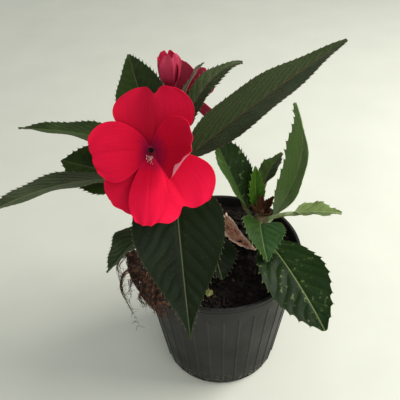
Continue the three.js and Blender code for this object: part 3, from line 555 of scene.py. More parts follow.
def repeat(item, turns, sizes, places):
    """One mesh that holds a turned, scaled and placed copy of item for each row. item is used up."""
    corners = places_of(item)
    loops = np.array([list(face.vertices) for face in item.data.polygons])
    made = np.einsum("nij,vj->nvi", turns * sizes[:, None, :], corners) + places[:, None, :]
    faces = loops[None] + (np.arange(len(places)) * len(corners))[:, None, None]
    mesh = bpy.data.meshes.new(item.name)
    mesh.from_pydata(made.reshape(-1, 3).tolist(), [], faces.reshape(-1, loops.shape[1]).tolist())
    copies = bpy.data.objects.new(item.name, mesh)
    bpy.context.scene.collection.objects.link(copies)
    bpy.data.objects.remove(item)
    return copies


def random_turns(draw, count):
    """Rotation matrices with any heading and any lean."""
    spins = draw.uniform(0, 2 * math.pi, (count, 2))
    leans = np.radians(draw.uniform(-180, 180, count))
    return np.array([
        (Matrix.Rotation(a, 3, "Z") @ Matrix.Rotation(lean, 3, "X") @ Matrix.Rotation(b, 3, "Z"))
        for (a, b), lean in zip(spins, leans)
    ])


# Materials

def add_node(tree, kind, inputs=None, stops=None, **settings):
    """Adds a shader node with its settings. A socket gets a value, a hex colour or another node's output."""
    made = tree.nodes.new(kind)
    for key, value in settings.items():
        setattr(made, key, value)
    for key, value in (inputs or {}).items():
        if isinstance(value, bpy.types.NodeSocket):
            tree.links.new(value, made.inputs[key])
        else:
            made.inputs[key].default_value = colour(value) if isinstance(value, str) else value
    if stops:
        ramp = made.color_ramp.elements
        while len(ramp) < len(stops):
            ramp.new(0.5)
        for stop, (place, shade) in zip(ramp, stops):
            stop.position = place
            stop.color = colour(shade) if isinstance(shade, str) else shade
    return made


class Surface:
    """A material with one Principled shader. Most methods add a node to it and give back its output."""

    def __init__(self, name, **sockets):
        self.made = bpy.data.materials.new(name)
        self.made.use_nodes = True
        self.tree = self.made.node_tree
        self.shader = self.tree.nodes["Principled BSDF"]
        for key, value in sockets.items():
            self.shader.inputs[key.replace("_", " ").title().replace("Ior", "IOR")].default_value = value
        self.place = add_node(self.tree, "ShaderNodeTexCoord").outputs["Object"]

    def facts(self, *names):
        """What the vertices keep under each name."""
        nodes = [add_node(self.tree, "ShaderNodeAttribute", attribute_name=name) for name in names]
        return [node.outputs["Fac"] for node in nodes]

    def noise(self, size, detail, place=None):
        """Noise with patches about size mm wide."""
        inputs = {"Vector": place or self.place, "Scale": 1 / (size * MM), "Detail": detail}
        return add_node(self.tree, "ShaderNodeTexNoise", inputs).outputs[0]

    def stretch(self, place, scale):
        inputs = {"Vector": place, "Scale": scale}
        return add_node(self.tree, "ShaderNodeMapping", inputs, vector_type="POINT").outputs[0]

    def span(self, value, low, high, least, most, **settings):
        """Takes a value between low and high to one between least and most."""
        inputs = {0: value, 1: low, 2: high, 3: least, 4: most}
        return add_node(self.tree, "ShaderNodeMapRange", inputs, **settings).outputs[0]

    def maths(self, kind, *values):
        return add_node(self.tree, "ShaderNodeMath", dict(enumerate(values)), operation=kind).outputs[0]

    def ramp(self, value, *stops):
        return add_node(self.tree, "ShaderNodeValToRGB", {"Fac": value}, stops=stops).outputs[0]

    def lay(self, shown, share, over, kind="MIX"):
        """Lays a colour over what is shown, by a share from 0 to 1."""
        inputs = {0: share, 6: shown, 7: over}
        return add_node(self.tree, "ShaderNodeMix", inputs, data_type="RGBA", blend_type=kind).outputs[2]

    def finish(self, shown, height=None, strength=0, depth=0, rough=None):
        """Gives the shader its colour, the relief of a height over a depth in mm, and its roughness."""
        sockets = self.shader.inputs
        self.tree.links.new(shown, sockets["Base Color"])
        if rough is not None:
            self.tree.links.new(rough, sockets["Roughness"])
        if height is not None:
            inputs = {"Height": height, "Strength": strength, "Distance": depth * MM}
            self.tree.links.new(add_node(self.tree, "ShaderNodeBump", inputs).outputs[0], sockets["Normal"])
        return self.made


def leaf_skin(look):
    """Living leaf grown smooth and waxy: satin, dark between paler veins, with grey wax where it turns away.

    Its net of small veins is about 2 mm wide, and its cell grain is drawn at 0.8 mm so that it shows.
    """
    kept = LOOKS[look]
    skin = Surface(
        "leaf_skin_" + look, Ior=1.45, Specular_Ior_Level=0.15, Sheen_Weight=kept["wax"],
        Sheen_Roughness=0.45, Sheen_Tint=colour("#C2C4A4"), Subsurface_Weight=0.06, Subsurface_Scale=MM,
        Subsurface_Radius=(0.4, 1.0, 0.2),
    )
    across, margin, phase, along = skin.facts("across", "margin", "phase", "along")
    patches = skin.noise(11, 4)
    grain = skin.noise(0.8, 2)
    shown = skin.ramp(patches, (0.36, kept["shade"]), (0.66, kept["green"]))
    # Painted light: the blade's left half is laid with the flank colour, paler than the green where light
    # falls on it.
    shown = skin.lay(shown, skin.span(across, 0.4, -0.6, 0, 0.75), kept["flank"])
    shown = skin.lay(shown, skin.span(grain, 0.35, 0.75, 0, 0.22), kept["vein"])
    shown = skin.lay(shown, skin.span(along, 0.22, 0, 0, kept["foot"]), kept["rib"])
    inputs = {"Vector": skin.place, "Scale": 1 / (2.1 * MM)}
    cells = add_node(skin.tree, "ShaderNodeTexVoronoi", inputs, feature="DISTANCE_TO_EDGE").outputs[0]
    net = skin.span(cells, 0.09, 0, 0, 0.3 * kept["lines"])
    shown = skin.lay(shown, net, kept["vein"])
    nearness = skin.maths("ABSOLUTE", skin.maths("SUBTRACT", skin.maths("FRACT", phase), 0.5))
    line = skin.span(nearness, 0.43, 0.5, 0, kept["lines"], interpolation_type="SMOOTHSTEP")
    inward = skin.span(margin, 0.5, 5, 0, 1)
    shown = skin.lay(shown, skin.maths("MULTIPLY", line, inward), kept["vein"])
    from_rib = skin.maths("ABSOLUTE", across)
    rib = skin.span(from_rib, 0.6, 0.15, 0, kept["rib_shown"], interpolation_type="SMOOTHSTEP")
    shown = skin.lay(shown, rib, kept["rib"])
    shown = skin.lay(shown, skin.span(margin, 0.6, 0.1, 0, 0.4), kept["edge"])
    specks = skin.span(skin.noise(3.2, 3), 0.62, 0.7, 0, kept["specks"])
    shown = skin.lay(shown, specks, kept["speck"])
    ridges = skin.maths("MULTIPLY_ADD", grain, 0.5, net)
    return skin.finish(shown, ridges, 0.5, 0.25, skin.span(patches, 0.3, 0.7, 0.58, 0.42))


def leaf_finishes(look):
    """A look's materials for the upper face, the underside and the stalk."""
    kept = LOOKS[look]
    under = soft_green("leaf_underside_" + look, kept["under"], kept["edge"])
    return leaf_skin(look), under, soft_green("leaf_stalk_" + look, kept["stalk"], kept["rib"])


def soft_green(name, code, other, roughness=0.55):
    """Living stalk or leaf underside, smooth and unwaxed: matte, with its colour shifting over 6 mm."""
    skin = Surface(
        name, Ior=1.42, Roughness=roughness, Subsurface_Weight=0.08, Subsurface_Scale=MM,
        Subsurface_Radius=(0.8, 0.8, 0.3),
    )
    shown = skin.ramp(skin.noise(6, 4), (0.36, code), (0.66, other))
    grain = skin.noise(0.7, 2)
    shown = skin.lay(shown, 1, skin.span(grain, 0.3, 0.7, 0.8, 1.15), "MULTIPLY")
    return skin.finish(shown, grain, 0.4, 0.2)


def petal_velvet(name, deep, full, bright, sheen):
    """Living petal of domed cells, which gives velvet: matte, deep red, with soft pink light on its slopes.

    deep lies round the throat, where it is partly the petal's own darker eye and partly painted shade, full
    over the blade and bright at the margin. Streaks fan out along the petal.
    """
    skin = Surface(
        name, Ior=1.4, Roughness=0.75, Specular_Ior_Level=0.12, Sheen_Weight=sheen, Sheen_Roughness=0.35,
        Sheen_Tint=colour("#FF9AA8"), Subsurface_Weight=0.12, Subsurface_Scale=MM,
        Subsurface_Radius=(1.0, 0.15, 0.12),
    )
    across, margin, along, painted_shade = skin.facts("across", "margin", "along", "painted_shade")
    moved = skin.maths("MULTIPLY_ADD", skin.noise(7, 3), 0.22, along)
    # Round the throat the colour is partly the petal's own darker eye and partly painted shade.
    shown = skin.ramp(moved, (0.12, deep), (0.34, full), (1, bright))
    fanned = add_node(skin.tree, "ShaderNodeCombineXYZ", {0: across, 1: along}).outputs[0]
    streaks = skin.noise(1 / MM, 3, skin.stretch(fanned, (26, 2.2, 1)))
    shown = skin.lay(shown, 1, skin.span(streaks, 0.3, 0.72, 0.9, 1.04), "MULTIPLY")
    shown = skin.lay(shown, skin.span(margin, 1.2, 0.1, 0, 0.35), bright)
    # Painted shade: each petal's stored share darkens its colour.
    shown = skin.lay(shown, 1, painted_shade, "MULTIPLY")
    height = skin.maths("MULTIPLY_ADD", streaks, 0.5, skin.noise(0.5, 1))
    return skin.finish(shown, height, 0.45, 0.25)


def pot_plastic(base):
    """Polypropylene, injection moulded in dark grey: satin and dusty, paler on rib crests and rim, partly
    worn and partly a painted highlight.

    Pale soil has dried on in spots near its foot.
    """
    skin = Surface("moulded_polypropylene", Ior=1.49, Specular_Ior_Level=0.3)
    height = add_node(skin.tree, "ShaderNodeSeparateXYZ", {0: skin.place}).outputs["Z"]
    drift = skin.noise(28, 5)
    grit = skin.noise(1.6, 4)
    shown = skin.lay(base, skin.span(drift, 0.4, 0.75, 0, 0.35), "#1E1F1A")
    runs = skin.noise(2.4, 3, skin.stretch(skin.place, (1, 1, 0.1)))
    shown = skin.lay(shown, skin.span(runs, 0.6, 0.8, 0, 0.25), "#2E2F2A")
    # Rib crests and rim edges are laid paler: partly wear, partly painted highlight.
    wear_and_highlight = skin.maths("MULTIPLY", skin.span(grit, 0.4, 0.62, 0.05, 0.4), *skin.facts("crest"))
    shown = skin.lay(shown, wear_and_highlight, "#3A3B35")
    low = skin.span(height, 16 * MM, 2 * MM, 0, 1)
    soiled = skin.maths("MULTIPLY", low, skin.span(grit, 0.58, 0.64, 0, 0.8))
    shown = skin.lay(shown, soiled, "#8E8A7C")
    return skin.finish(shown, grit, 0.25, 0.15, skin.span(drift, 0.3, 0.75, 0.4, 0.66))


def loose_earth():
    """Peat and bark fines, damp and crumbled: matt, almost black, each crumb a little lighter or redder."""
    skin = Surface("peat_and_bark", Ior=1.4, Roughness=0.88, Specular_Ior_Level=0.3)
    grit = skin.noise(1.2, 4)
    mixed = skin.maths("MULTIPLY_ADD", grit, 0.45, *skin.facts("shade"))
    shown = skin.ramp(mixed, (0.2, "#0B0807"), (0.72, "#2A1E17"), (1, colour("#2A1E17", 2.4)))
    return skin.finish(shown, grit, 0.9, 0.5)


def root_fibre():
    """Dried roots, grown fine and tangled: matt reddish brown, going from near black to tan every few mm."""
    skin = Surface("dried_root", Ior=1.45, Roughness=0.75)
    shown = skin.ramp(skin.noise(2.6, 4), (0.34, "#160C08"), (0.5, "#3A2015"), (0.72, "#7A5238"))
    return skin.finish(shown, skin.noise(0.6, 3), 0.8, 0.3)


def dry_leaf():
    """Dead leaf, dried to paper: matt and crinkled, pinkish tan with cream margins and rusty spots."""
    skin = Surface("dried_leaf", Ior=1.4, Roughness=0.7, Subsurface_Weight=0.08, Subsurface_Scale=MM)
    drift = skin.noise(5, 4)
    shown = skin.ramp(drift, (0.3, "#6A4030"), (0.46, "#BC866C"), (0.66, "#E0B69C"))
    shown = skin.lay(shown, skin.span(skin.noise(2.2, 2), 0.6, 0.68, 0, 0.75), "#B4502C")
    shown = skin.lay(shown, skin.span(*skin.facts("margin"), 2.4, 0.2, 0, 0.8), "#E8CDB6")
    return skin.finish(shown, drift, 0.8, 0.5)


def painted_board(base):
    """Board painted with matt emulsion: pale, without gloss, with a faint unevenness about 60 mm wide."""
    skin = Surface("matt_painted_board", Ior=1.4, Roughness=0.9, Specular_Ior_Level=0.2)
    return skin.finish(skin.lay(base, 1, skin.span(skin.noise(60, 3), 0.3, 0.7, 0.97, 1.02), "MULTIPLY"))


# Blades: one formula for leaves and petals

def direction(heading, pitch):
    level = np.cos(pitch)
    return np.stack([level * np.cos(heading), level * np.sin(heading), np.sin(pitch)], axis=-1)


class Rib:
    """The line that a blade follows, with the blade's own side and up anywhere along it."""

    STEPS = 60

    def __init__(self, form):
        self.total = form["stalk"] + form["length"]
        self.share = np.linspace(0, 1, self.STEPS + 1)
        self.heading = np.radians(lerp(*form["heading"], self.share))
        self.pitch = np.radians(lerp(*form["pitch"], self.share ** form["bend"]))
        self.roll = np.radians(lerp(*form["roll"], self.share))
        ahead = direction(self.heading, self.pitch)
        middle = ahead[:-1] + ahead[1:]
        middle /= np.linalg.norm(middle, axis=1)[:, None]
        walked = np.vstack([np.zeros(3), np.cumsum(middle, axis=0)]) * self.total / self.STEPS
        self.points = np.array(form["foot"], float) + walked

    def at(self, distance):
        """The point, side and up at each distance from the stalk's foot."""
        distance = np.asarray(distance, float)
        place = np.clip(distance / self.total, 0, 1)
        heading, pitch, roll = (
            np.interp(place, self.share, turn) for turn in (self.heading, self.pitch, self.roll)
        )
        ahead = direction(heading, pitch)
        level = np.stack([np.sin(heading), -np.cos(heading), 0 * heading], axis=-1)
        above = np.cross(level, ahead)
        turn_cos, turn_sin = np.cos(roll)[..., None], np.sin(roll)[..., None]
        side = level * turn_cos + above * turn_sin
        up = above * turn_cos - level * turn_sin
        point = np.stack([np.interp(place, self.share, self.points[:, axis]) for axis in range(3)], axis=-1)
        past = np.minimum(distance, 0) + np.maximum(distance - self.total, 0)
        return point + ahead * past[..., None], side, up


def blade_top(form, rib, reach, half, t, v):
    """A blade's upper face, in mm. reach is a point's share of the length, and half the half width there."""
    point, side, up = rib.at(form["stalk"] + form["length"] * reach)
    fold = math.radians(form["fold"])
    wave = np.sin(2 * math.pi * form["waves"] * t + np.sign(v))
    lift = half * np.abs(v) * math.sin(fold) + half * form["cup"] * v * v * 0.5 + form["wave"] * v * v * wave
    out = half * v * math.cos(fold)
    return point + side * out[:, None] + up * lift[:, None], up


def leaf_half(form, t):
    widest = form["base"] / (form["base"] + form["taper"])
    full = widest ** form["base"] * (1 - widest) ** form["taper"]
    outline = t ** form["base"] * (1 - t) ** form["taper"] / full
    return np.hypot(form["width"] / 2 * outline, form["stalk_radius"] * (1 - t)) + TIP_HALF * t


def tooth_depth(form, count, side):
    """How deep each tooth is. No two neighbours are quite alike."""
    uneven = 0.8 + 0.35 * np.sin(2.4 * count + 3 * side + form["length"]) + 0.2 * np.sin(5.1 * count + side)
    return form["tooth"] * side * uneven


def leaf_surface(form, rib, t, v):
    """A leaf's upper face: hooked teeth along its margins, and a blade that swells between its side veins."""
    plain = leaf_half(form, t)
    count = np.floor(t * form["teeth"] + 1e-4)
    rise = 1 - 1 / ROWS_PER_TOOTH
    place = t * form["teeth"] + 1e-4 - count
    point = np.where(place <= rise + 2e-4, place / rise, (1 - place) / (1 - rise)) ** 1.8
    side = np.where(v < 0, *form["jagged"])
    depth = tooth_depth(form, count, side) * np.minimum(1, plain / 4)
    near_edge = np.abs(v) ** 12
    half = plain + (1.7 * point - 0.7) * depth * near_edge
    hook = point * 0.6 * form["tooth"] / form["length"] * near_edge
    across = np.abs(v) * plain
    forward = form["sweep"] * across * (1 + 0.03 * across)
    wander = 0.12 * np.sin(2.3 * t * form["veins"] + 4 * v)
    phase = (t * form["length"] - forward) * form["veins"] / form["length"] + wander
    pressed = (0.5 + 0.5 * np.cos(2 * math.pi * phase)) ** 2
    shown = smoothstep(np.abs(v), 0.04, 0.3) * (1 - np.abs(v) ** 6) * smoothstep(plain, 2.5, 9)
    groove = 0.45 * np.exp(-((v * plain / 0.9) ** 2)) * smoothstep(plain, 1.5, 6)
    top, up = blade_top(form, rib, t + hook, half, t, v)
    crumple = np.sin(9 * v + 21 * t) * np.sin(34 * t - 5 * v) + 0.6 * np.sin(57 * t + 13 * v)
    top += up * (form["crumple"] * crumple - form["relief"] * pressed * shown - groove)[:, None]
    facts = dict(across=v * plain, margin=(1 - np.abs(v)) * plain, phase=phase, along=t)
    return top, facts


def petal_half(form, t):
    rising = lerp(form["claw"], form["width"] / 2, np.sin(np.pi / 2 * np.minimum(t / form["peak"], 1)) ** 0.9)
    past = np.maximum(t - form["peak"], 0) / (1 - form["peak"])
    return np.where(t < form["peak"], rising, form["width"] / 2 * (1 - (1 - PETAL_END) * past ** 2.2))


def petal_surface(form, rib, share, v):
    """A petal's upper face: notched, a little ruffled at its margin, with fine veins that fan out."""
    t = share ** 0.85
    dip = form["notch"] * np.exp(-(((v - form["notch_at"]) / form["notch_width"]) ** 2)) * t ** 4
    reach = t - dip - form["drop"] * np.abs(v) ** 2.6 * t ** 3
    half = petal_half(form, t)
    top, up = blade_top(form, rib, reach, half, t, v)
    ruffle = 0.35 * t ** 4 * np.sin(9 * v + form["heading"][0]) + 0.25 * v ** 6 * np.sin(14 * t)
    fan = 0.02 * np.cos(2 * math.pi * 9 * v) * smoothstep(t, 0.1, 0.4) * (1 - t ** 4)
    groove = 0.35 * np.exp(-((v / 0.07) ** 2)) * smoothstep(t, 0.1, 0.35) * (1 - t ** 3)
    top += up * (ruffle + fan - groove)[:, None]
    edge = np.minimum((1 - np.abs(v)) * half, (1 - t) * form["length"])
    return top, dict(along=t, across=v, margin=edge)


def blade(form, rib, surface, columns, rows, thickness, finishes):
    """A closed blade with its upper face on the formula's surface, and another finish underneath."""
    made, v, t = sheet(columns, rows)
    top, facts = surface(form, rib, t, v)
    move_vertices(made, top * MM)
    for name, values in facts.items():
        store(made, name, values)
    dress(made, *finishes)
    apply_modifier(made, "SOLIDIFY", thickness=thickness * MM, offset=-1, material_offset=1, use_rim=True)
    return made


# Where stalks leave the stems

def on_stem(stem, z):
    """The middle of a stem and its radius at a height."""
    heights = [station[2] for station in stem]
    return [float(np.interp(z, heights, [station[k] for station in stem])) for k in range(4)]


def stalk_foot(form):
    x, y, z, thick = on_stem(form["stem"], form["z"])
    heading, pitch = math.radians(form["heading"][0]), math.radians(form["pitch"][0])
    out = thick + CLEAR + form["stalk_radius"] * abs(math.sin(pitch))
    return x + out * math.cos(heading), y + out * math.sin(heading), z


def stalk_and_rib(form, rib, finish):
    """The round stalk, which runs on under the blade as its midrib."""
    start = -1.5
    stalk = np.linspace(start, form["stalk"], 10)
    under = np.linspace(form["stalk"], form["stalk"] + 0.96 * form["length"], 30)[1:]
    distance = np.concatenate([stalk, under])
    share = np.clip((distance - form["stalk"]) / form["length"], 0, 1)
    thick = form["stalk_radius"]
    radius = lerp(thick, 0.75 * thick, np.clip(share * 8, 0, 1)) * (1 - share) ** 0.8
    radius = np.maximum(radius, 0.18)
    point, _, up = rib.at(distance)
    blended = smoothstep(distance, form["stalk"] - 4, form["stalk"] + 4)
    depth = lerp(0.4, radius + 0.35, blended)
    return dress(rods([np.hstack([point - up * depth[:, None], radius[:, None]])]), finish)


def bristles(form, rib, length, finish):
    """The fine hooked bristle at the point of each tooth."""
    count = np.arange(form["teeth"])
    t = (count + 1 - 1 / ROWS_PER_TOOTH) / form["teeth"]
    count, t = count[leaf_half(form, t) > 1.6], t[leaf_half(form, t) > 1.6]
    paths = []
    for sign, share in zip((-1, 1), form["jagged"]):
        half = leaf_half(form, t) + tooth_depth(form, count, share) * np.minimum(1, leaf_half(form, t) / 4)
        margin, up = blade_top(form, rib, t + 0.6 * form["tooth"] / form["length"], half, t, sign + 0 * t)
        _, side, _ = rib.at(form["stalk"] + form["length"] * t)
        ahead = np.cross(up, side)
        lean = ahead * 0.8 + side * sign * 0.45 + up * 0.12
        for root, way, lift in zip(margin, lean, up):
            root = root - lift * 0.2 - way * 0.4
            middle = root + way * (0.4 + 0.6 * length)
            paths.append([(*root, 0.24), (*middle, 0.14), (*(middle + way * 0.4 * length), 0.04)])
    return dress(rods(paths, roundness=0), finish)


def make_leaf(name, own, finishes, settings):
    form = {**LEAF, **own}
    form["foot"] = stalk_foot(form)
    form["tooth"] *= settings.tooth_depth
    rib = Rib(form)
    top, under, stalk = finishes
    body = blade(
        form, rib, leaf_surface, LEAF_COLUMNS, ROWS_PER_TOOTH * form["teeth"],
        settings.thickness / MM, (top, under),
    )
    parts = [body, stalk_and_rib(form, rib, stalk)]
    if settings.bristle > 0:
        parts.append(bristles(form, rib, settings.bristle / MM, stalk))
    finish_piece(join(parts), name + "_grown", form["slot"], name)


# Blooms

def bloom_matrix(bloom):
    turn = Euler((math.radians(bloom["tilt"]), 0, math.radians(bloom["turn"]))).to_matrix().to_4x4()
    return Matrix.Translation(Vector(bloom["place"]) * MM) @ turn


def cut(item, cutter):
    """Takes the cutter away from item. The cut faces get the cutter's own material, if it has one."""
    kept = "TRANSFER" if cutter.data.materials else "INDEX"
    settings = dict(operation="DIFFERENCE", solver="EXACT", object=cutter, material_mode=kept)
    apply_modifier(item, "BOOLEAN", **settings)


def make_bloom(name, bloom, finishes, settings):
    """Petals round a small heart. An open bloom has a funnel between their claws that leads to its spur."""
    top, under, lining = finishes
    radius, throat, thickness = bloom["radius"], bloom["throat"], settings.thickness / MM
    pieces = []
    if throat:
        cutter = added(
            bpy.ops.mesh.primitive_cone_add, vertices=32, radius1=0.6 * throat * MM, radius2=throat * MM,
            depth=THROAT_DEPTH * MM, location=(0, THROAT_SHIFT * MM, (THROAT_DEPTH / 2 - 0.5 * radius) * MM),
        )
        # The cut faces take the lining's painted shade.
        dress(cutter, lining)
    for own in bloom["petals"]:
        form = {**PETAL, **own}
        turn = math.radians(form["heading"][0])
        form["foot"] = (bloom["reach"] * math.cos(turn), bloom["reach"] * math.sin(turn), form["lift"])
        detail = LARGE_GRID if form["length"] > LARGE_PETAL else PETAL_GRID
        petal = blade(form, Rib(form), petal_surface, detail, detail, thickness, (top, under))
        across = np.empty(len(petal.data.vertices), np.float32)
        petal.data.attributes["across"].data.foreach_get("value", across)
        # Keeps the petal's painted shade across it, for its material to darken it.
        store(petal, "painted_shade", np.interp(across, PAINTED_SHADE_PLACES, form["painted_shade"]))
        if throat:
            cut(petal, cutter)
        pieces.append(petal)
    core = dress(lump([radius, radius, 0.55 * radius], 4, 0, 2), under)
    shift(core, (0, 0, -0.4 * radius - 0.4))
    # The heart takes its painted shade.
    store(core, "painted_shade", np.full(len(core.data.vertices), CORE_PAINTED_SHADE))
    store(core, "margin", np.full(len(core.data.vertices), CORE_MARGIN))
    pieces.append(core)
    if throat:
        cut(core, cutter)
        bpy.data.objects.remove(cutter)
        wide, narrow, deep = throat + 0.15, 0.55 * throat, -0.55 * radius
        inside = [(0, deep), (narrow, deep), (wide, 0.1)]
        outside = [(wide + 0.2, 0), (narrow + 0.4, deep - 0.4), (0, deep - 0.4)]
        funnel = dress(lathe(inside + outside, 24), lining)
        shift(funnel, (0, THROAT_SHIFT, 0))
        pieces.append(funnel)
    whole = join(pieces)
    whole.data.transform(bloom_matrix(bloom))
    finish_piece(whole, name + "_petals_grown", bloom["slot"], name + "_petals")


def in_bloom(bloom, stations):
    """Stations of a bloom's own frame in the plant's frame."""
    matrix = bloom_matrix(bloom)
    return [(*(matrix @ (Vector((x, y, z)) * MM) / MM), radius) for x, y, z, radius in stations]


def make_stalk(name, bloom, finish):
    """A bloom's stalk, its spur and the cap behind its heart."""
    behind = -0.95 * bloom["radius"] - CLEAR
    join_at, end = in_bloom(bloom, [(0, 0, behind - 1.2, 1.2), (0, 0, behind + 0.8, 2.2)])
    near = in_bloom(bloom, [(0, 0, behind - 0.4, 1.5)])[0]
    stalk = smooth_path([*bloom["path"], join_at])
    tail = smooth_path([join_at, *in_bloom(bloom, bloom["spur"])])
    parts = [rods([stalk], 4), rods([tail], 3), rods([smooth_path([join_at, near, end])], 4)]
    for part in parts:
        dress(part, finish)
    finish_piece(join(parts), name + "_stalk_grown", "stalk", name + "_stalk")


# Pot, soil and roots

def pot_outer(z):
    """The pot's outer radius below its collar."""
    return lerp(POT_FOOT, POT_RIM - COLLAR_STEP, z / POT_HEIGHT)


def pot_profile():
    """The pot's section, from the middle of its underside, round its rim, to the middle of its floor."""
    step = POT_HEIGHT - COLLAR
    line = POT_HEIGHT - 3.2
    below = [(pot_outer(z), z) for z in (1.5, 2.6, 5, 10, 20, 30, 40, 50, 60, 70, 78, step - 1, step - 0.3)]
    band = [(pot_outer(z) + COLLAR_STEP, z) for z in (step + 0.1, step + 1, line - 0.5)]
    groove = [(pot_outer(line) + COLLAR_STEP - 0.3, z) for z in (line - 0.2, line + 0.2)]
    lip = [(pot_outer(line + 0.5) + COLLAR_STEP, line + 0.5), (POT_RIM, POT_HEIGHT - 0.6),
           (POT_RIM - 0.15, POT_HEIGHT - 0.2), (POT_RIM - 0.5, POT_HEIGHT)]
    inner = POT_RIM - COLLAR_STEP - POT_WALL
    inside = [(inner + 0.5, POT_HEIGHT), (inner + 0.15, POT_HEIGHT - 0.25)]
    inside += [(pot_outer(z) - POT_WALL, z) for z in (POT_HEIGHT - 1, 70, 40, 10, POT_FLOOR)]
    foot = [(0, 0), (18, 0), (POT_FOOT - 1.5, 0), (POT_FOOT - 0.5, 0.4)]
    return foot + below + band + groove + lip + inside + [(18, POT_FLOOR), (0, POT_FLOOR)]


def soil_height(x, y):
    """The lumpy top of the soil."""
    swell = np.sin(0.11 * x + 0.8) * np.cos(0.09 * y - 0.4)
    swell += 0.6 * np.sin(0.31 * x - 0.23 * y) + 0.4 * np.sin(0.57 * y + 0.29 * x + 1.1)
    return SOIL_LEVEL + SOIL_LUMP * swell


def root_line(shares, turns, out):
    """Points that lie over the rim: shares run from the soil, over the rim and down the pot's wall."""
    steps = np.linspace(0, 1, len(ROOT_SECTION))
    radius = np.interp(shares, steps, [point[0] for point in ROOT_SECTION])
    height = np.interp(shares, steps, [point[1] for point in ROOT_SECTION])
    away = np.stack([radius - 50, height - 88], axis=1)
    away /= np.linalg.norm(away, axis=1)[:, None]
    radius, height = radius + away[:, 0] * out, height + away[:, 1] * out
    return np.stack([radius * np.cos(turns), radius * np.sin(turns), height], axis=1)


def fibre_paths(settings, low, high):
    """Thin roots over the rim and down the hanging strands, all inside the box of the root mat."""
    draw = np.random.default_rng(SEED)
    first, last = (math.radians(turn) for turn in ROOT_TURNS)
    paths = []
    for _ in range(settings.fibres):
        start = draw.uniform(0, 0.55)
        shares = np.linspace(start, min(1, start + draw.uniform(0.25, 0.6)), 10)
        along = np.linspace(0, 1, 10)
        turns = draw.uniform(first, last) + draw.uniform(-0.22, 0.22) * along
        turns += draw.uniform(0.01, 0.05) * np.sin(draw.uniform(3, 9) * along + draw.uniform(0, 6))
        out = draw.uniform(-1, 1.2) + draw.uniform(0, 0.7) * np.sin(draw.uniform(5, 12) * along)
        radius = draw.uniform(0.16, 0.42) * (1 - 0.6 * along)
        paths.append(np.hstack([root_line(shares, turns, out), radius[:, None]]))
    for strand in STRANDS:
        middle = smooth_path(strand, 5)
        along = np.linspace(0, 1, len(middle))
        for _ in range(16):
            phase, turning = draw.uniform(0, 6.28), draw.uniform(2, 9)
            spread = middle[:, 3] * draw.uniform(0.4, 1.0)
            around = phase + turning * along
            offset = np.stack([np.cos(around), np.sin(around), 0.5 * np.sin(2 * around)], axis=1)
            offset *= spread[:, None]
            offset += 0.5 * np.sin(draw.uniform(8, 20, 3) * along[:, None] + draw.uniform(0, 6.28, 3))
            radius = draw.uniform(0.1, 0.32) * (1 - 0.7 * along)
            last = draw.integers(len(middle) // 2, len(middle) + 1)
            paths.append(np.hstack([middle[:, :3] + offset, radius[:, None]])[:last])
        for _ in range(36):
            root = middle[draw.integers(2, len(middle))]
            way = draw.normal(0, 1, 3) - (0, 0, 0.7)
            way *= draw.uniform(2, 6) / np.linalg.norm(way)
            steps = np.linspace(0, 1, 4)[:, None]
            hair = root[:3] + way * steps + draw.normal(0, 0.5, 3) * np.sin(3 * steps)
            paths.append(np.hstack([hair, 0.14 - 0.08 * steps]))
    for path in paths:
        path[:, :3] = np.clip(path[:, :3], low + 0.5, high - 0.5)
    return paths


# What a user may change

class PotSettings(bpy.types.PropertyGroup):
    """The pot's ribs and colour."""

    rib_height: bpy.props.FloatProperty(
        name="Rib height", description="How far the upright ribs stand out from the wall",
        default=0.5 * MM, min=0, max=MM, precision=5, unit="LENGTH",
    )
    plastic: bpy.props.FloatVectorProperty(
        name="Plastic", description="Colour of the moulded plastic", default=colour("#0C0D0B"), size=4,
        min=0, max=1, subtype="COLOR",
    )


class SoilSettings(bpy.types.PropertyGroup):
    """The crumbs on the soil and the thin roots over the rim."""

    crumbs: bpy.props.IntProperty(
        name="Crumbs", description="How many crumbs lie on the soil", default=1300, min=20, max=4000,
    )
    crumb_size: bpy.props.FloatProperty(
        name="Crumb size", description="Half width of a middling crumb", default=0.8 * MM, min=0.2 * MM,
        max=3 * MM, precision=5, unit="LENGTH",
    )
    fibres: bpy.props.IntProperty(
        name="Root fibres", description="How many thin roots lie over the rim", default=420, min=20, max=900,
    )


class LeafSettings(bpy.types.PropertyGroup):
    """What all the leaves share."""

    thickness: bpy.props.FloatProperty(
        name="Blade thickness", description="Thickness of each leaf blade", default=0.45 * MM, min=0.2 * MM,
        max=MM, precision=5, unit="LENGTH",
    )
    tooth_depth: bpy.props.FloatProperty(
        name="Tooth depth", description="Depth of the teeth, as a share of each leaf's own", default=1, min=0,
        max=2, subtype="FACTOR",
    )
    bristle: bpy.props.FloatProperty(
        name="Bristle length", description="Length of the bristle on each tooth", default=1.1 * MM, min=0,
        max=3 * MM, precision=5, unit="LENGTH",
    )


class BloomSettings(bpy.types.PropertyGroup):
    """What all the petals share."""

    thickness: bpy.props.FloatProperty(
        name="Petal thickness", description="Thickness of each petal", default=0.35 * MM, min=0.2 * MM,
        max=MM, precision=5, unit="LENGTH",
    )


class StageSettings(bpy.types.PropertyGroup):
    """The floor and the light."""

    key_power: bpy.props.FloatProperty(
        name="Key light", description="Power of the large soft light at the right", default=8.7, min=0,
        unit="POWER",
    )
    fill: bpy.props.FloatProperty(
        name="Fill", description="Strength of the even light from all round", default=0.56, min=0,
    )
    floor: bpy.props.FloatVectorProperty(
        name="Floor", description="Colour of the painted board", default=colour("#D6D7CB"), size=4,
        min=0, max=1, subtype="COLOR",
    )


# What builds each group of pieces

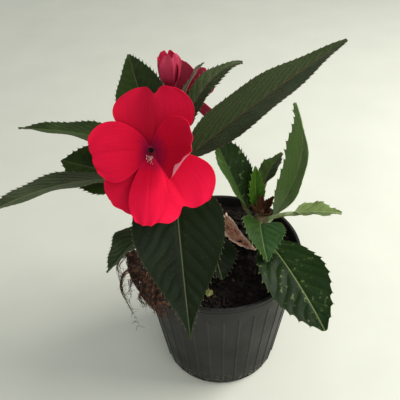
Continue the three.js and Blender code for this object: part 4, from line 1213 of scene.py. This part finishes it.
class BuildPot(bpy.types.Operator):
    """Turns the pot, raises its ribs and cuts the slots at its foot"""

    bl_idname = "impatiens.pot"
    bl_label = "Pot"

    def execute(self, context):
        settings = context.scene.impatiens_pot
        parts = len(RIB_LIFTS)
        pot = lathe(pot_profile(), parts * RIBS)
        panel = 2 * math.pi / RIBS
        turns = [0, RIB_CREST, RIB_FOOT, 0.3 * panel, 0.5 * panel, 0.7 * panel, panel - RIB_FOOT,
                 panel - RIB_CREST]
        x, y, z = places_of(pot).T / MM
        radius = np.hypot(x, y)
        step = np.round(np.arctan2(y, x) / (panel / parts)).astype(int)
        turn = step // parts * panel + np.array(turns)[step % parts]
        wall = (radius > pot_outer(z) - 0.3) & (z > RIB_LOW) & (z < POT_HEIGHT - COLLAR - 0.5)
        lift = np.array(RIB_LIFTS)[step % parts] * wall
        radius = radius + lift * settings.rib_height / MM
        move_vertices(pot, np.stack([radius * np.cos(turn), radius * np.sin(turn), z], axis=1) * MM)
        top, under_collar = z > POT_HEIGHT - 0.5, np.abs(z - (POT_HEIGHT - COLLAR)) < 0.6
        # The crest share marks where the plastic is laid paler, partly as wear and partly as painted
        # highlight.
        wear_and_highlight = (top * RIM_WEAR_AND_HIGHLIGHT + under_collar * STEP_WEAR_AND_HIGHLIGHT) * (radius > POT_RIM - 2)
        store(pot, "crest", np.maximum(lift, wear_and_highlight))
        cutters = []
        for turn in (np.arange(SLOTS) + 0.5) * 2 * math.pi / SLOTS:
            cutters.append(added(
                bpy.ops.mesh.primitive_cube_add, size=1, rotation=(0, 0, turn),
                location=(POT_FOOT * MM * math.cos(turn), POT_FOOT * MM * math.sin(turn), SLOT_HEIGHT * MM),
                scale=[side * MM for side in SLOT_SIZE],
            ))
        cutter = join(cutters)
        cut(pot, cutter)
        bpy.data.objects.remove(cutter)
        dress(pot, pot_plastic(settings.plastic))
        finish_piece(pot, "pot_moulded", "pot", "pot", sharp=35)
        return {"FINISHED"}


class BuildSoil(bpy.types.Operator):
    """Fills the pot with potting mix and strews crumbs and bark on it"""

    bl_idname = "impatiens.soil"
    bl_label = "Soil"

    def execute(self, context):
        settings = context.scene.impatiens_soil
        side = POT_WALL + SOIL_GAP
        edge = pot_outer(SOIL_EDGE) - side
        flank = [(0, SOIL_FOOT), (pot_outer(SOIL_FOOT) - side, SOIL_FOOT), (edge, SOIL_EDGE - 0.6)]
        rings = [(radius, SOIL_LEVEL) for radius in np.linspace(edge, 0, 46)]
        bed = lathe(flank + rings, 150)
        draw = np.random.default_rng(SEED)
        x, y, z = places_of(bed).T / MM
        top = z > SOIL_LEVEL - 0.5
        inward = smoothstep(np.hypot(x, y), edge, edge - 2)
        rough = 0.7 * np.sin(1.3 * x + 2 * np.sin(0.9 * y)) * np.sin(1.1 * y + 1.7 * np.sin(0.7 * x))
        rough += draw.uniform(-0.45, 0.45, len(x))
        z = np.where(top, soil_height(x, y) + rough * inward, z)
        move_vertices(bed, np.stack([x, y, z], axis=1) * MM)
        store(bed, "shade", draw.uniform(-0.05, 0.2, len(x)))
        for stem in (MAIN_STEM, SIDE_STEM):
            low, high = Vector(stem[0][:3]), Vector(stem[1][:3])
            way = high - low
            middle = (low + high) / 2 + way * HOLE_SHIFT
            hole = added(
                bpy.ops.mesh.primitive_cylinder_add, vertices=24, radius=(stem[0][3] + CLEAR) * MM,
                depth=way.length * HOLE_LENGTH * MM, location=middle * MM,
                rotation=way.to_track_quat("Z", "Y").to_euler(),
            )
            cut(bed, hole)
            bpy.data.objects.remove(hole)
        count = settings.crumbs
        out = CRUMB_REACH * np.sqrt(draw.uniform(0, 1, count))
        turn = draw.uniform(0, 2 * math.pi, count)
        x, y = out * np.cos(turn), out * np.sin(turn)
        sizes = settings.crumb_size / MM * draw.lognormal(0, 0.45, count)[:, None]
        sizes = sizes * draw.uniform(0.6, 1.3, (count, 3))
        sizes[: count // 12] *= BARK_SHAPE
        sizes = np.clip(sizes, *CRUMB_LIMITS)
        places = np.stack([x, y, soil_height(x, y) + 0.3 * sizes[:, 2]], axis=1)
        crumbs = repeat(lump([1, 1, 1], 1, 0.1, 3), random_turns(draw, count), sizes, places * MM)
        shade = draw.uniform(-0.1, 0.32, count)
        shade[:: 40] = 0.75
        store(crumbs, "shade", np.repeat(shade, len(crumbs.data.vertices) // count))
        whole = dress(join([bed, crumbs]), loose_earth())
        finish_piece(whole, "soil_bed", "soil", "soil", sharp=40)
        return {"FINISHED"}


class BuildRoots(bpy.types.Operator):
    """Lays the mat of dried roots over the pot's rim"""

    bl_idname = "impatiens.roots"
    bl_label = "Roots over the rim"

    def execute(self, context):
        low, high = (np.array(corner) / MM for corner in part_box("root_mat"))
        fibres = fibre_paths(context.scene.impatiens_soil, low, high)
        pieces = [rods(fibres, 0)]
        rim = lathe(RIM_ROOM, 64)
        for seed, (turn, out, size) in enumerate(RIM_LUMPS):
            clump = lump([CLUMP_SHARE * width for width in size], 4, 0.2, seed)
            turned = Matrix.Rotation(math.radians(turn), 4, "Z") @ Matrix.Translation(
                Vector((RIM_MIDDLE + out, 0, POT_HEIGHT)) * MM
            )
            clump.data.transform(turned)
            cut(clump, rim)
            pieces.append(clump)
        bpy.data.objects.remove(rim)
        mat = dress(join(pieces), root_fibre())
        finish_piece(mat, "root_tangle", "roots", "root_mat", sharp=60)
        return {"FINISHED"}


class BuildStems(bpy.types.Operator):
    """Grows the old stem and the side stem, swollen where the stalks leave them"""

    bl_idname = "impatiens.stems"
    bl_label = "Stems"

    def execute(self, context):
        bark = soft_green("stem_skin", "#4A3A24", "#7A6A44", 0.5)
        growing = [
            ("stem_main", MAIN_STEM, [form["z"] for form in LEAVES.values()]),
            ("stem_side", SIDE_STEM, [form["z"] for form in YOUNG_LEAVES.values()]),
        ]
        for name, stem, joints in growing:
            heights = np.linspace(stem[0][2], stem[-1][2], 90)
            path = np.array([on_stem(stem, z) for z in heights])
            for z in joints:
                path[:, 3] += JOINT_SWELL * np.exp(-(((heights - z) / JOINT_REACH) ** 2))
            path[:, 3] *= smoothstep(stem[-1][2] - heights, -0.6, 1.6) * 0.3 + 0.7
            finish_piece(dress(rods([path], 4), bark), name + "_grown", "stem", name)
        return {"FINISHED"}


class BuildLeaves(bpy.types.Operator):
    """Grows every leaf with its teeth, pressed veins, midrib, bristles and stalk"""

    bl_idname = "impatiens.leaves"
    bl_label = "Leaves"

    def execute(self, context):
        settings = context.scene.impatiens_leaf
        finishes = {}
        for name, own in {**LEAVES, **YOUNG_LEAVES}.items():
            look = own.get("look", LEAF["look"])
            if look not in finishes:
                finishes[look] = leaf_finishes(look)
            make_leaf(name, own, finishes[look], settings)
        return {"FINISHED"}


class BuildHeart(bpy.types.Operator):
    """Closes the tip of the side stem with its tight heart of young leaves"""

    bl_idname = "impatiens.heart"
    bl_label = "Heart of young leaves"

    def execute(self, context):
        settings = context.scene.impatiens_leaf
        top, under, stalk = leaf_finishes("heart")
        knob = dress(lump([2, 2, 2], 3, 0.05, 1), stalk)
        shift(knob, KNOB_SEAT)
        rows, thickness = ROWS_PER_TOOTH * HEART_LEAF["teeth"], settings.thickness / MM
        pieces = [knob]
        for own in HEART_LEAVES:
            form = {**LEAF, **HEART_LEAF, **own}
            rib = Rib(form)
            pieces.append(blade(form, rib, leaf_surface, HEART_COLUMNS, rows, thickness, (top, under)))
            pieces.append(stalk_and_rib(form, rib, stalk))
        finish_piece(join(pieces), "side_heart_grown", "heart", "side_heart")
        return {"FINISHED"}


class BuildBlooms(bpy.types.Operator):
    """Opens the three blooms, with their throats, stamens, stalks and spurs"""

    bl_idname = "impatiens.blooms"
    bl_label = "Blooms"

    def execute(self, context):
        settings = context.scene.impatiens_bloom
        lit = petal_velvet("petal_velvet", "#8E0A3C", "#D80832", "#E8123E", 0.04)
        under = petal_velvet("petal_underside", "#9A1C40", "#B02044", "#D07A8C", 0.1)
        shaded = petal_velvet("shaded_petal_velvet", "#7E0E2A", "#A81232", "#C8284C", 0.1)
        shaded_under = petal_velvet("shaded_petal_underside", "#66101E", "#8C1830", "#B03850", 0.06)
        # The throat lining is almost black, as painted shade down the funnel to the spur.
        throat = soft_green("throat_lining", "#0E0C05", "#241F0C", 0.85)
        stalk = soft_green("bloom_stalk", "#7A3A34", "#8E5A44", 0.5)
        finishes = {"petal": (lit, under, throat), "shade_petal": (shaded, shaded_under, throat)}
        for name, bloom in BLOOMS.items():
            make_bloom(name, bloom, finishes[bloom["slot"]], settings)
        for name, bloom in BLOOMS.items():
            make_stalk(name, bloom, stalk)
        pale = soft_green("stamen_column", "#B04A5A", "#E8B8B0", 0.5)
        front = BLOOMS["bloom_front"]
        middle = [(x, y, z, 0.6 * radius) for x, y, z, radius in FRONT_COLUMN]
        pieces = [rods([smooth_path(in_bloom(front, middle), 6)])]
        for seed, (x, y, z, size) in enumerate(ANTHERS):
            grain = lump([0.7 * size, 0.55 * size, 1.3 * size], 3, 0.08, seed)
            shift(grain, in_bloom(front, [(x, y, z, 1)])[0][:3])
            pieces.append(grain)
        for piece in pieces:
            dress(piece, pale)
        finish_piece(join(pieces), "bloom_front_column_grown", "column", "bloom_front_column")
        return {"FINISHED"}


class BuildLitter(bpy.types.Operator):
    """Drops the withered leaf and the small fallen bud on the soil"""

    bl_idname = "impatiens.litter"
    bl_label = "Withered leaf and fallen bud"

    def execute(self, context):
        settings = context.scene.impatiens_leaf
        paper = dry_leaf()
        form = {**LEAF, **WITHERED}
        rib = Rib(form)
        leaf = blade(form, rib, leaf_surface, *WITHERED_GRID, settings.thickness / MM, (paper, paper))
        whole = join([leaf, stalk_and_rib(form, rib, paper)])
        finish_piece(whole, "withered_leaf_curled", "withered", "withered_leaf")
        low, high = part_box("fallen_bud")
        half = (high - low) / 2 / MM
        bud = lump([0.94 * width for width in half], 4, 0.02, 0)
        corners = places_of(bud)
        pointed = corners * (1 - 0.25 * smoothstep(corners[:, 1:2], 0, half.y * MM))
        move_vertices(bud, pointed + np.array((low + high) / 2))
        dress(bud, soft_green("fallen_bud_skin", "#5E6230", "#8A8848", 0.5))
        finish_piece(bud, "fallen_bud_grown", "bud", "fallen_bud")
        return {"FINISHED"}


class BuildStage(bpy.types.Operator):
    """Lays the pale floor, sets the soft lights and stands the camera where the photograph was taken"""

    bl_idname = "impatiens.stage"
    bl_label = "Stage"

    def execute(self, context):
        settings = context.scene.impatiens_stage
        floor = added(bpy.ops.mesh.primitive_plane_add, size=FLOOR_SIDE)
        dress(floor, painted_board(settings.floor))
        floor.name = "floor"
        world = bpy.data.worlds.new("studio")
        world.use_nodes = True
        backdrop = world.node_tree.nodes["Background"].inputs
        backdrop["Color"].default_value = colour("#F2F6F4")
        backdrop["Strength"].default_value = settings.fill
        context.scene.world = world
        for name, place, side, share, tint in LAMPS:
            lamp = added(bpy.ops.object.light_add, type="AREA", location=place)
            lamp.name = name
            lamp.rotation_euler = (Vector(LAMP_AIM) - Vector(place)).to_track_quat("-Z", "Y").to_euler()
            lamp.data.size = side
            lamp.data.energy = share * settings.key_power
            lamp.data.color = colour(tint)[:3]
        camera = added(bpy.ops.object.camera_add)
        tilted = Matrix.Rotation(math.radians(90 - CAMERA_TILT), 4, "X")
        rolled = Matrix.Rotation(math.radians(CAMERA_ROLL), 4, "Z")
        camera.matrix_world = Matrix.Translation(CAMERA_PLACE) @ tilted @ rolled
        camera.data.angle = math.radians(VIEW_ANGLE)
        camera.data.clip_start = 0.01
        context.scene.camera = camera
        context.scene.view_settings.view_transform = "Standard"
        return {"FINISHED"}


GROUPS = {
    "impatiens_pot": PotSettings, "impatiens_soil": SoilSettings, "impatiens_leaf": LeafSettings,
    "impatiens_bloom": BloomSettings, "impatiens_stage": StageSettings,
}
BUILDERS = [
    BuildPot, BuildSoil, BuildRoots, BuildStems, BuildLeaves, BuildHeart, BuildBlooms, BuildLitter,
    BuildStage,
]


class ImpatiensPanel(bpy.types.Panel):
    """Lists what can be changed and the steps that build the plant"""

    bl_idname = "VIEW3D_PT_impatiens"
    bl_label = "Impatiens"
    bl_space_type = "VIEW_3D"
    bl_region_type = "UI"
    bl_category = "Impatiens"

    def draw(self, context):
        for group in GROUPS:
            box = self.layout.box()
            for name in getattr(context.scene, group).bl_rna.properties.keys():
                if name not in ("rna_type", "name"):
                    box.prop(getattr(context.scene, group), name)
        for builder in BUILDERS:
            self.layout.operator(builder.bl_idname)


def register():
    for name, group in GROUPS.items():
        bpy.utils.register_class(group)
        setattr(bpy.types.Scene, name, bpy.props.PointerProperty(type=group))
    for builder in (*BUILDERS, ImpatiensPanel):
        bpy.utils.register_class(builder)


def unregister():
    for builder in (*BUILDERS, ImpatiensPanel):
        bpy.utils.unregister_class(builder)
    for name, group in GROUPS.items():
        delattr(bpy.types.Scene, name)
        bpy.utils.unregister_class(group)


def main():
    register()
    for builder in BUILDERS:
        group, step = builder.bl_idname.split(".")
        getattr(getattr(bpy.ops, group), step)()


if __name__ == "__main__":
    main()
